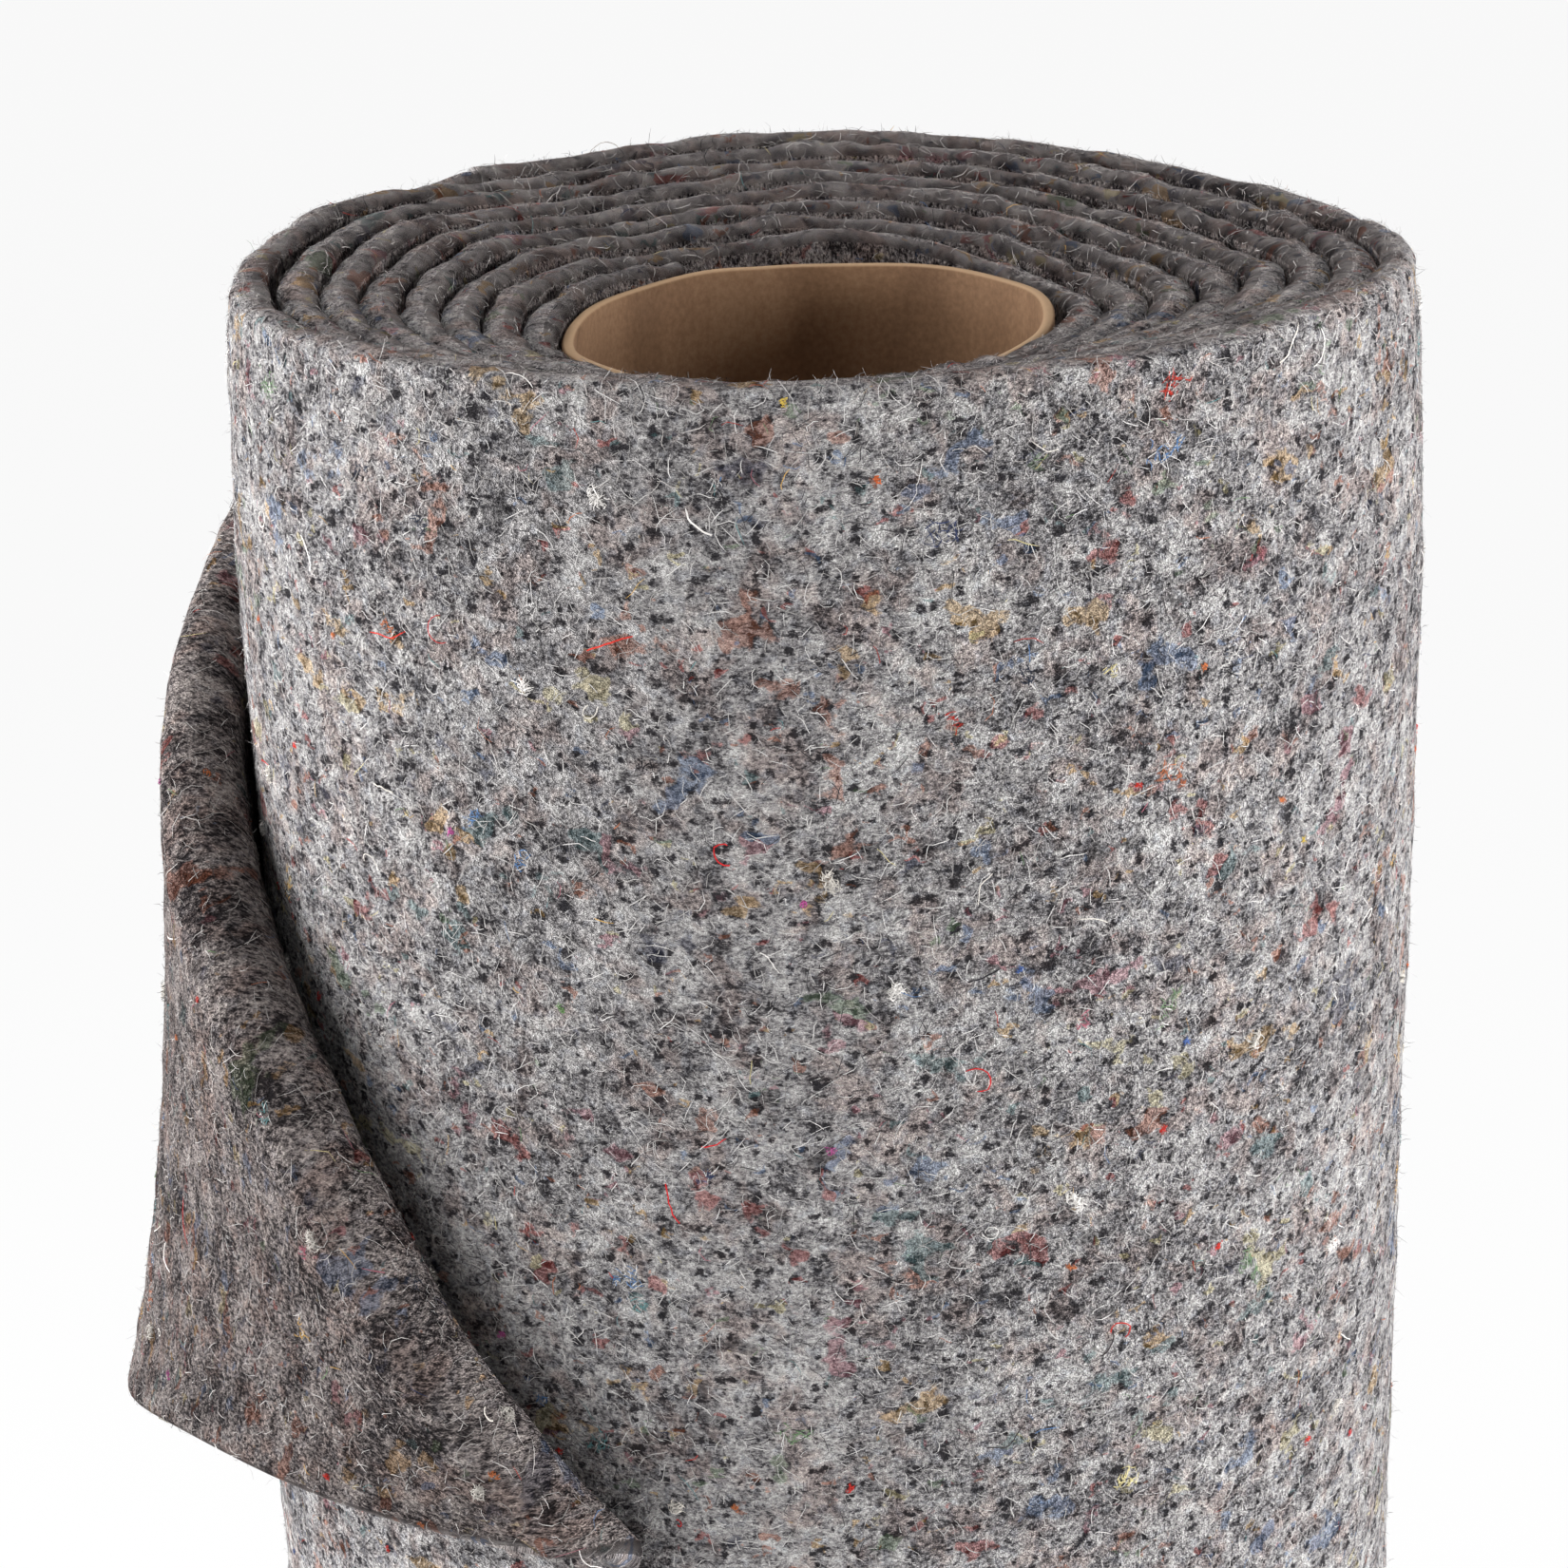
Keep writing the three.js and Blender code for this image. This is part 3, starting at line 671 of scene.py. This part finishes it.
def felt_material():
    """Needle-punched felt: crossing fibres, rows of needle holes with painted shade in them, mottling,
    dyed wisps, and painted shade on the reverse.
    """
    n = Nodes("pond_underlay_felt")
    mm = n.flat_mm()
    side = n.attribute("side").outputs["Fac"]

    # a shake that makes every edge ragged
    shake = n.noise(mm, 0.55, 0.5, 0.6).outputs["Color"]
    shaken = n.vector("MULTIPLY_ADD", shake, (2.4, 1.7, 0), mm)

    # cloudy mixture of fibres: dark pits, grey ground and tufts of pale wool, with the grain along
    # the cloth on its outer face and across it on its reverse
    reverse = n.range(side, 0.55, 0.95)
    grain = n.vector("ADD", n.scaled((0.45, -0.45, 0), reverse), (0.8, 1.2, 1))
    fine = n.noise(n.vector("MULTIPLY", mm, grain), 1.3, 2.0, 0.85).outputs[0]
    wool = n.noise(n.moved(shaken, (0.95, 1.1, 1)), 0.25, 1.5, 0.7).outputs[0]
    drift = n.noise(mm, 0.05, 2.0, 0.6).outputs[0]
    tone = n.add(n.add(fine, wool, 0.70), drift, 0.38)

    # single fibres that run over the cloth in curls
    fibres = None
    for k, (scale, width, bend) in enumerate(((0.28, 0.014, 1.2), (0.38, 0.018, 0.9))):
        place_at = n.moved(mm, (1.3, 0.8, 1), (37.0 * k, 91.0 * k, 0), 0.5 + 1.1 * k)
        field = n.noise(place_at, scale, 0.0, 0.5, bend).outputs[0]
        line = n.math("ABSOLUTE", n.math("SUBTRACT", field, 0.5))
        line = n.range(line, 0.0, width, 1.0, 0.0)
        fibres = line if fibres is None else n.math("MAXIMUM", fibres, line)
    fibres = n.math("MULTIPLY", fibres, n.range(wool, 0.35, 0.6, 0.35, 1.0))

    # needle holes in the rows of the needling, some of them covered by fibres; their dark dots are
    # painted shade in the pits
    punched = n.moved(n.vector("MULTIPLY_ADD", shake, (1.5, 0.9, 0), mm), turn=0.03)
    nearest = None
    for x, y, smaller in NEEDLES:
        away = n.vector("SUBTRACT", punched, (x, y, 0))
        away = n.vector("DIVIDE", away, NEEDLE_REPEAT + (1,))
        away = n.vector("SUBTRACT", n.vector("FRACTION", away, (0, 0, 0)), (0.5, 0.5, 0))
        away = n.length(n.vector("MULTIPLY", away, NEEDLE_REPEAT + (0,)))
        away = n.math("ADD", away, smaller)
        nearest = away if nearest is None else n.math("MINIMUM", nearest, away)
    nearest = n.add(nearest, fine, 1.0)
    hole_shade = n.range(nearest, 0.35, 1.1, 1.0, 0.0)
    covered = n.noise(n.moved(mm, offset=(17, 5, 0)), 0.20, 1.0, 0.6).outputs[0]
    hole_shade = n.math("MULTIPLY", hole_shade, n.range(covered, 0.36, 0.56, 0.4, 1.0))
    hole_shade = n.math("MULTIPLY", hole_shade, n.range(side, 0.15, 0.45, 1.0, 0.4))
    tone = n.math("MULTIPLY_ADD", hole_shade, -0.40, tone)
    tone = n.math("MULTIPLY_ADD", fibres, 0.10, tone)

    # away from the outer face the mixture is calmer, and on the reverse cloudy and finer
    tone = n.add(0.5, tone, n.range(side, 0.1, 0.45, 1.07, 0.74))
    tone = n.add(tone, covered, n.math("MULTIPLY", reverse, 0.55))
    tone = n.add(tone, fine, n.math("MULTIPLY", reverse, 0.90))
    smudge = n.noise(n.moved(shaken, offset=(7, 61, 0)), 0.085, 1.0, 0.7).outputs[0]
    smudge = n.range(smudge, 0.54, 0.68)
    tone = n.math("MULTIPLY_ADD", n.math("MULTIPLY", smudge, reverse), -0.16, tone)
    grey = n.ramp(tone, [
        (0.14, linear(60, 58, 61)), (0.32, linear(114, 111, 113)), (0.46, linear(162, 159, 160)),
        (0.60, linear(194, 190, 190)), (0.80, linear(236, 234, 232)),
    ])

    # faint tints from the many dyes in the fibres
    warm = n.noise(n.moved(shaken, offset=(71, 33, 0)), 0.10, 2.0, 0.8).outputs[0]
    warm = n.math("MULTIPLY", n.range(warm, 0.48, 0.66), 0.42)
    cool = n.math("MULTIPLY", n.range(n.split(shake)[2], 0.56, 0.72), 0.3)
    colour = n.dyed(warm, grey, grey, (232, 200, 188))
    colour = n.dyed(cool, colour, grey, (198, 208, 224))

    # ragged wisps of dyed fibre
    stops = [(at, linear(*rgb)) for at, rgb in DYES]
    light = n.range(tone, 0.30, 0.75, 0.45, 1.25, False)
    for k, (scale, rarity, strength) in enumerate(((0.12, 0.625, 0.5), (0.30, 0.655, 0.55))):
        at = n.moved(shaken, (0.9, 1.1, 1), (53.0 * k, 29.0 * k, 0), 0.7 * k)
        shape = n.noise(at, scale, 2.0, 0.65).outputs[0]
        mask = n.range(n.add(shape, fine, 0.10), rarity, rarity + 0.045)
        dice = n.split(n.cells(at, scale * 0.55).outputs["Color"])
        hue = n.ramp(dice[1], stops, True)
        hue = n.scaled(hue, light)
        colour = n.mix(n.math("MULTIPLY", mask, strength), colour, hue)

    # the reverse and the cut edges are a little browner; the reverse is also darker, which is painted
    # shade on the hanging corner and the inner side of the top edges
    colour = n.dyed(n.range(side, 0.1, 0.5), colour, colour, (252, 246, 243))
    colour = n.dyed(reverse, colour, colour, (194, 190, 189))
    n.put(n.shader.inputs["Base Color"], colour)
    n.shader.inputs["Roughness"].default_value = 1.0
    n.shader.inputs["Specular IOR Level"].default_value = 0.05
    n.bump(n.add(fine, wool, 1.0), 1.0, 0.0026)
    return n.material


def fibre_material():
    """Loose fibres: each has its own colour, a little uneven along it."""
    n = Nodes("loose_fibres")
    where = n.tree.nodes.new("ShaderNodeTexCoord").outputs["Object"]
    uneven = n.range(n.noise(where, 700, 1.0, dims="3D").outputs[0], 0.3, 0.7, 0.85, 1.1)
    colour = n.scaled(n.attribute("tint").outputs["Color"], uneven)
    n.put(n.shader.inputs["Base Color"], colour)
    n.shader.inputs["Roughness"].default_value = 0.9
    n.shader.inputs["Specular IOR Level"].default_value = 0.1
    return n.material


def card_material():
    """Brown kraft card with faint spiral bands, pulp mottling and a paler cut rim."""
    n = Nodes("kraft_card")
    mm = n.flat_mm()
    pulp = n.noise(mm, 0.9, 4.0, 0.65).outputs[0]
    cloud = n.noise(n.moved(mm, (1, 0.35, 1)), 0.06, 3.0).outputs[0]
    xy = n.tree.nodes.new("ShaderNodeSeparateXYZ")
    n.put(xy.inputs[0], mm)
    slant = n.math("MULTIPLY", xy.outputs[1], 0.011)
    slant = n.math("ADD", n.math("MULTIPLY", xy.outputs[0], 0.005), slant)
    band = n.math("ABSOLUTE", n.math("SUBTRACT", n.math("FRACT", slant), 0.5))
    seam = n.range(band, 0.0, 0.012, 1.0, 0.0)
    tone = n.math("ADD", n.math("MULTIPLY", pulp, 0.45), n.math("MULTIPLY", cloud, 0.55))
    colour = n.ramp(tone, [
        (0.30, linear(112, 83, 59)), (0.50, linear(133, 101, 74)), (0.70, linear(152, 119, 90)),
    ])
    colour = n.mix(n.math("MULTIPLY", seam, 0.3), colour, linear(74, 54, 38))
    rim = n.range(n.attribute("side").outputs["Fac"], 0.2, 0.9)
    colour = n.mix(n.math("MULTIPLY", rim, 0.8), colour, linear(180, 150, 118))
    n.put(n.shader.inputs["Base Color"], colour)
    n.shader.inputs["Roughness"].default_value = 0.8
    n.shader.inputs["Specular IOR Level"].default_value = 0.3
    height = n.math("SUBTRACT", n.math("MULTIPLY", pulp, 0.4), n.math("MULTIPLY", seam, 0.6))
    n.bump(height, 0.4, 0.0003)
    return n.material


# Loose fibres

PALE = (206, 203, 201)
MIDDLE = (158, 155, 153)
DARK = (64, 62, 64)
WHITE = (232, 228, 224)
DYED = [rgb for _, rgb in DYES]
FIBRE_WIDTHS = (0.07, 0.13)
FUZZ_WIDTHS = (0.04, 0.08)
BUNCH_WIDTHS = (0.10, 0.17)
THREAD_WIDTHS = (0.13, 0.26)


def surface_points(obj, count, keep, rng):
    """Random places on a piece with their outward directions, in millimetres round the axis."""
    mesh = obj.data
    mesh.calc_loop_triangles()
    co = np.empty(len(mesh.vertices) * 3, np.float32)
    mesh.vertices.foreach_get("co", co)
    co = (co.reshape(-1, 3) - AXIS) / MM
    tri = np.empty(len(mesh.loop_triangles) * 3, np.int32)
    mesh.loop_triangles.foreach_get("vertices", tri)
    a, b, c = (co[tri.reshape(-1, 3)[:, k]] for k in range(3))
    normal = np.cross(b - a, c - a)
    area = np.linalg.norm(normal, axis=1)
    normal = normal / np.maximum(area, 1e-9)[:, None]
    weight = area * keep((a + b + c) / 3, normal)
    chosen = rng.choice(len(area), count, p=weight / weight.sum())
    s, t = rng.random((2, count))
    flip = s + t > 1
    s, t = np.where(flip, 1 - s, s), np.where(flip, 1 - t, t)
    at = a[chosen] + (b - a)[chosen] * s[:, None] + (c - a)[chosen] * t[:, None]
    return at, normal[chosen]


def flat_directions(normal):
    """Two directions in the cloth at each place, the first one level on a wall."""
    helper = np.where(np.abs(normal[:, 2:3]) > 0.9, [[1.0, 0, 0]], [[0, 0, 1.0]])
    e1 = np.cross(helper, normal)
    e1 /= np.linalg.norm(e1, axis=1, keepdims=True)
    return e1, np.cross(normal, e1)


def bunched(obj, keep, count, fibres, half_length, half_width, rng):
    """Places for fibres in bunches, each bunch a bent streak, and the number of each one's bunch."""
    at, normal = surface_points(obj, count, keep, rng)
    e1, e2 = flat_directions(normal)
    turn = rng.random(count) * np.pi
    bend = rng.normal(0, 0.5, count)
    size = rng.uniform(0.5, 1.3, count)
    which = np.repeat(np.arange(count), fibres)
    s = rng.uniform(-1, 1, len(which))
    x = half_length * size[which] * s
    y = half_width * rng.normal(0, 0.5, len(which)) + bend[which] * half_length * s * s
    cos, sin = np.cos(turn)[which], np.sin(turn)[which]
    offset = (x * cos - y * sin)[:, None] * e1[which] + (x * sin + y * cos)[:, None] * e2[which]
    return at[which] + offset, normal[which], which


def ribbons(name, at, normal, length, width, lift, curl, tint, rng, rise=None, parts=3):
    """Slim curly fibres, each from a number of parts in a row. They lie on the cloth with their
    middles lifted off it, or with a rise they stand on it, and only their far ends leave it."""
    count = len(at)
    e1, e2 = flat_directions(normal)
    heading = rng.random(count) * 2 * np.pi
    bend = rng.normal(0, curl, count)
    step = (length / parts)[:, None]
    flat = np.zeros((count, 3))
    path = []
    for k in range(parts + 1):
        way = np.cos(heading)[:, None] * e1 + np.sin(heading)[:, None] * e2
        path.append((flat, way))
        flat = flat + way * step
        heading = heading + bend + rng.normal(0, curl * 0.5, count)
    middle = path[-1][0] / 2
    points, tangents = [], []
    for k, (offset, way) in enumerate(path):
        s = k / parts
        if rise is None:
            points.append(at + offset - middle + normal * (lift * np.sin(np.pi * s) - 0.12)[:, None])
        else:
            points.append(at + offset + normal * (rise * s ** 1.5 - 0.1)[:, None])
        tangents.append(way)
    points, tangents = np.stack(points, 1), np.stack(tangents, 1)
    across = np.cross(tangents, normal[:, None, :])
    taper = np.array([0.35] + [1.0] * (parts - 1) + [0.35])
    half = across * (width[:, None] * taper[None, :] / 2)[..., None]
    both = np.stack([points - half, points + half], 2).reshape(-1, 3)
    both[:, 2] = np.maximum(both[:, 2], 0.05)
    first = (np.arange(count) * (parts + 1) * 2)[:, None] + (np.arange(parts) * 2)[None, :]
    first = first.reshape(-1)
    quads = np.stack([first, first + 1, first + 3, first + 2], -1)
    obj = new_mesh(name, both, quads, None, None, fibre)
    layer = obj.data.attributes.new("tint", "FLOAT_COLOR", "POINT")
    per_point = np.repeat(np.concatenate([tint, np.ones((count, 1))], 1), (parts + 1) * 2, axis=0)
    layer.data.foreach_set("color", per_point.astype(np.float32).ravel())
    return obj


def fibre_tints(count, rng, pale=0.45, dark=0.2, dyed=0.02):
    """A colour for each fibre: mostly pale and grey, some dark, a few dyed."""
    table = np.array([linear(*rgb)[:3] for rgb in [PALE, MIDDLE, DARK] + DYED])
    dice = rng.random(count)
    kind = np.where(dice < pale, 0, np.where(dice < 1 - dark - dyed, 1, 2))
    kind = np.where(dice > 1 - dyed, 3 + rng.integers(0, len(DYED), count), kind)
    return table[kind] * rng.uniform(0.75, 1.15, (count, 1))


def lying(name, at, normal, lengths, lifts, curl, tint, rng):
    """Plain single fibres that lie on the cloth."""
    count = len(at)
    length, width = rng.uniform(*lengths, count), rng.uniform(*FIBRE_WIDTHS, count)
    lift = rng.uniform(*lifts, count)
    shares, painted_shade = tint
    colours = fibre_tints(count, rng, *shares) * painted_shade
    return ribbons(name, at, normal, length, width, lift, curl, colours, rng)


def fuzz(obj, keep, count, rng):
    """Fine fibres that stand off the cloth and show along its outlines."""
    at, normal = surface_points(obj, count, keep, rng)
    length, width = rng.uniform(1.0, 3.2, count), rng.uniform(*FUZZ_WIDTHS, count)
    colours = fibre_tints(count, rng, 0.5, 0.25)
    rise = rng.uniform(0.4, 1.9, count)
    return ribbons(obj.name + "_fuzz", at, normal, length, width, None, 0.7, colours, rng, rise=rise)


def upper(p, fade_from=270.0, fade_over=130.0):
    """From 1 in the upper part of the roll, which shows, to 0 below it."""
    return np.clip(1 - (ROLL_HEIGHT - p[:, 2] - fade_from) / fade_over, 0.0, 1.0)


def facing_out(p, normal):
    out = p[:, :2] / np.linalg.norm(p[:, :2], axis=1, keepdims=True)
    return (normal[:, :2] * out).sum(1)


def wall(p, normal):
    return upper(p) * (facing_out(p, normal) > 0.3)


def rim_and_wall(p, normal):
    near_rim = 1 + 4.0 * np.exp(-((ROLL_HEIGHT - p[:, 2]) / 4.0) ** 2)
    return upper(p) * near_rim * (facing_out(p, normal) > -0.3)


def tops(p, normal):
    return (p[:, 2] > ROLL_HEIGHT - 16) * np.clip(normal[:, 2] + 0.3, 0, 1)


def all_over(p, normal):
    return upper(p, 230, 60)


# Bunches of fibre: number, fibres in each, half length and half width, lengths, lift, then their
# colours and the share of plain grey fibres among them
LINT = [WHITE, (214, 208, 200)]
BLACKS = [(44, 42, 46), (58, 52, 54), (50, 54, 66)]
BRIGHT = [
    (196, 44, 46), (202, 58, 50), (204, 104, 62), (188, 112, 72), (84, 108, 164), (208, 180, 88),
    (110, 146, 92), (180, 88, 146),
]
BUNCHES = [
    (85, 40, 2.6, 1.3, (1.2, 3.2), 0.30, DYED, 0.40),
    (110, 20, 1.3, 0.8, (1.0, 2.4), 0.30, DYED, 0.30),
    (120, 14, 0.55, 0.35, (0.7, 1.4), 0.40, BRIGHT, 0.0),
    (80, 48, 1.2, 0.8, (1.0, 2.4), 0.75, LINT, 0.0),
    (110, 30, 1.6, 1.0, (1.0, 2.6), 0.25, BLACKS, 0.2),
]


def tufts(name, obj, keep, share, rng, painted_shade=1.0):
    """Bunches of fibres of one colour over a piece, darkened by a factor as painted shade where one is
    given.
    """
    parts = []
    for number, fibres, half_length, half_width, lengths, lift, colours, plain in BUNCHES:
        count = int(number * share)
        at, normal, which = bunched(obj, keep, count, fibres, half_length, half_width, rng)
        table = np.array([linear(*rgb)[:3] for rgb in colours])
        tint = table[rng.integers(0, len(colours), which.max() + 1)][which]
        tint = np.where(rng.random((len(at), 1)) < plain, fibre_tints(len(at), rng), tint)
        tint = tint * rng.uniform(0.75, 1.15, (len(at), 1)) * painted_shade
        high = lift * rng.uniform(0.4, 1.2, len(at))
        parts.append((at, normal, rng.uniform(*lengths, len(at)), high, tint))
    at, normal, length, high, tint = (np.concatenate(x) for x in zip(*parts))
    width = rng.uniform(*BUNCH_WIDTHS, len(at))
    return ribbons(name, at, normal, length, width, high, 0.6, tint, rng)


def threads(name, obj, keep, count, rng):
    """Long curly threads, mostly white."""
    at, normal = surface_points(obj, count, keep, rng)
    colours = np.array([linear(*rgb)[:3] for rgb in LINT * 4 + BRIGHT[:2] + BLACKS[:2]])
    tint = colours[rng.integers(0, len(colours), count)]
    length, width = rng.uniform(3, 9, count), rng.uniform(*THREAD_WIDTHS, count)
    lift = rng.uniform(0.3, 0.8, count)
    return ribbons(name, at, normal, length, width, lift, 0.42, tint, rng, parts=9)


# Camera, as in the photo

PHOTO_WIDTH = 1650
SENSOR_WIDTH = 36.0


def unit(v):
    return v / np.linalg.norm(v)


def make_camera():
    """The photo's camera: focal length in its pixels, place from the rim's centre, and turns."""
    focal, distance, height = 3786.476, 537.903, 111.653
    yaw, pitch, roll = np.radians([-0.961, 20.287, -1.819])
    forward = np.array([np.sin(yaw) * np.cos(pitch), np.cos(yaw) * np.cos(pitch), -np.sin(pitch)])
    right = unit(np.cross(forward, [0, 0, 1]))
    up = np.cross(right, forward)
    x = np.cos(roll) * right + np.sin(roll) * up
    y = -np.sin(roll) * right + np.cos(roll) * up
    data = bpy.data.cameras.new("camera")
    data.sensor_width = SENSOR_WIDTH
    data.lens = focal / PHOTO_WIDTH * SENSOR_WIDTH
    data.clip_start, data.clip_end = 0.01, 100.0
    camera = bpy.data.objects.new("camera", data)
    bpy.context.scene.collection.objects.link(camera)
    eye = np.array([0, -distance, ROLL_HEIGHT + height]) * MM + AXIS
    turn = Matrix(np.stack([x, y, -forward], 1).tolist()).to_4x4()
    camera.matrix_world = Matrix.Translation(eye.tolist()) @ turn
    bpy.context.scene.camera = camera


# Floor and light

def area_light(name, at, to, size, power):
    data = bpy.data.lights.new(name, "AREA")
    data.shape = "RECTANGLE"
    data.size, data.size_y = size
    data.energy = power
    light = bpy.data.objects.new(name, data)
    bpy.context.scene.collection.objects.link(light)
    at, to = np.array(at, float), np.array(to, float)
    back = unit(at - to)
    side = unit(np.cross([0, 0, 1.0], back))
    up = np.cross(back, side)
    turn = Matrix(np.stack([side, up, back], 1).tolist()).to_4x4()
    light.matrix_world = Matrix.Translation(at.tolist()) @ turn


# Brightness of the surroundings, from straight down (0) over the horizon (0.5) to straight up (1)
AROUND = [
    (0.0, 0.90), (0.49, 0.90), (0.50, 0.945), (0.56, 0.93), (0.60, 0.12), (0.75, 0.12), (1.0, 0.30),
]
FLOOR_REACH = 40.0
FLOOR_COLOUR = 0.05
FLOOR_GLOW = 0.93
# Soft boxes round the roll: place and size in metres, power in watts
LIT_POINT = (0, 0, 0.85)
BOXES = [
    ("left_box", (-1.9, 0, 0.9), (1.0, 1.4), 26),
    ("left_high_box", (-1.6, -0.3, 1.9), (1.0, 1.0), 16),
    ("left_front_box", (-1.75, -0.75, 0.9), (1.0, 1.4), 15),
    ("left_back_box", (-1.75, 0.75, 0.9), (1.0, 1.4), 42),
    ("right_box", (1.75, -0.75, 0.9), (1.0, 1.4), 54),
    ("right_back_box", (1.75, 0.75, 0.9), (1.0, 1.4), 28),
    ("top_box", (0, 0.3, 3.0), (1.4, 1.4), 17),
]


def studio():
    scene = bpy.context.scene
    scene.view_settings.view_transform = "Standard"
    world = bpy.data.worlds.new("studio")
    scene.world = world
    world.use_nodes = True
    nodes, links = world.node_tree.nodes, world.node_tree.links
    direction = nodes.new("ShaderNodeTexCoord")
    xyz = nodes.new("ShaderNodeSeparateXYZ")
    ramp = nodes.new("ShaderNodeValToRGB")
    while len(ramp.color_ramp.elements) < len(AROUND):
        ramp.color_ramp.elements.new(0.5)
    for element, (at, value) in zip(ramp.color_ramp.elements, AROUND):
        element.position = at
        element.color = (value, value, value, 1)
    halved = nodes.new("ShaderNodeMath")
    halved.operation = "MULTIPLY_ADD"
    halved.inputs[1].default_value = 0.5
    halved.inputs[2].default_value = 0.5
    links.new(direction.outputs["Generated"], xyz.inputs[0])
    links.new(xyz.outputs[2], halved.inputs[0])
    links.new(halved.outputs[0], ramp.inputs[0])
    links.new(ramp.outputs[0], nodes["Background"].inputs[0])
    mesh = bpy.data.meshes.new("floor")
    corners = [(x * FLOOR_REACH, y * FLOOR_REACH, 0) for x, y in ((-1, -1), (1, -1), (1, 1), (-1, 1))]
    mesh.from_pydata(corners, [], [(0, 1, 2, 3)])
    floor = bpy.data.objects.new("floor", mesh)
    scene.collection.objects.link(floor)
    n = Nodes("studio_floor")
    n.shader.inputs["Base Color"].default_value = (FLOOR_COLOUR,) * 3 + (1,)
    n.shader.inputs["Roughness"].default_value = 1.0
    n.shader.inputs["Specular IOR Level"].default_value = 0.0
    n.shader.inputs["Emission Color"].default_value = (1, 1, 1, 1)
    n.shader.inputs["Emission Strength"].default_value = FLOOR_GLOW
    mesh.materials.append(n.material)
    floor.visible_diffuse = False
    for name, at, size, power in BOXES:
        area_light(name, at, LIT_POINT, size, power)
    scene.cycles.max_bounces = 4
    scene.cycles.diffuse_bounces = 2


make_camera()
felt = felt_material()
card = card_material()
fibre = fibre_material()

# Pieces

# Rows of depths below the rounded top edge: where a face shows, where it shows between turns that
# stand apart, and where it is hidden
shown = np.concatenate([np.arange(0, 300, 2.3), np.arange(300, 1010, 9.0)])
deep = np.array([0, 2.5, 6, 12, 24, 60, 300, 960, 1100])
hidden = np.array([0, 2.0, 5, 11, 30, 1100])
JOINT = SPLIT + 360 * WHOLE_TURNS
inner_windings = np.arange(START, RIM_START + 4, 1.25)
inner_turns = wound_sheet("inner_turns", inner_windings, hidden, hidden, INNER_ROUNDING, felt)
rim_windings = np.linspace(RIM_START - 2, JOINT, 261)
# a narrow last strip keeps the shading even up to the joint
rim_windings = np.insert(rim_windings, -1, JOINT - 0.04)
outer_turn = wound_sheet("outer_turn", rim_windings, shown, deep, RIM_ROUNDING, felt)
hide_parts("felt_roll")
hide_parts("felt_roll")
loose = loose_sheet("loose_felt", felt)
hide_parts("loose_end")
tube = tube_mesh("card_tube", card)
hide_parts("cardboard_core")

# Fibres on the felt, thick in the upper part and thinning out below it. A tint is the shares of
# pale, dark and dyed fibres, and a darkening factor for them all, which on the loose end and the tops
# is painted shade.

WALL_TINT = ((), 1.0)
LOOSE_TINT = ((0.35, 0.3, 0.04), [0.80, 0.78, 0.77])
TOP_TINT = ((0.3, 0.15, 0.04), [0.84, 0.81, 0.80])
rng = np.random.default_rng(27)
for label in ("a", "b"):
    at, normal = surface_points(outer_turn, 25000, wall, rng)
    name = "wall_fibres_" + label
    lying(name, at, normal, (1.8, 5.5), (0.12, 0.45), 0.55, WALL_TINT, rng)
at, normal = surface_points(loose, 16000, all_over, rng)
on_loose = [lying("loose_end_fibres", at, normal, (1.8, 6), (0.12, 0.5), 0.6, LOOSE_TINT, rng)]
places = [surface_points(inner_turns, 8500, tops, rng), surface_points(outer_turn, 2300, tops, rng)]
at, normal = (np.concatenate(x) for x in zip(*places))
on_top = lying("top_fibres", at, normal, (1.5, 5), (0.15, 0.6), 0.8, TOP_TINT, rng)
fuzz(outer_turn, rim_and_wall, 7000, rng)
on_loose.append(fuzz(loose, all_over, 2500, rng))
tufts("wall_tufts", outer_turn, wall, 1.0, rng)
threads("wall_threads", outer_turn, wall, 220, rng)
# the tufts on the loose end are darkened as painted shade
on_loose.append(tufts("loose_end_tufts", loose, all_over, 0.8, rng, painted_shade=0.7))
on_loose.append(threads("loose_end_threads", loose, all_over, 110, rng))

studio()
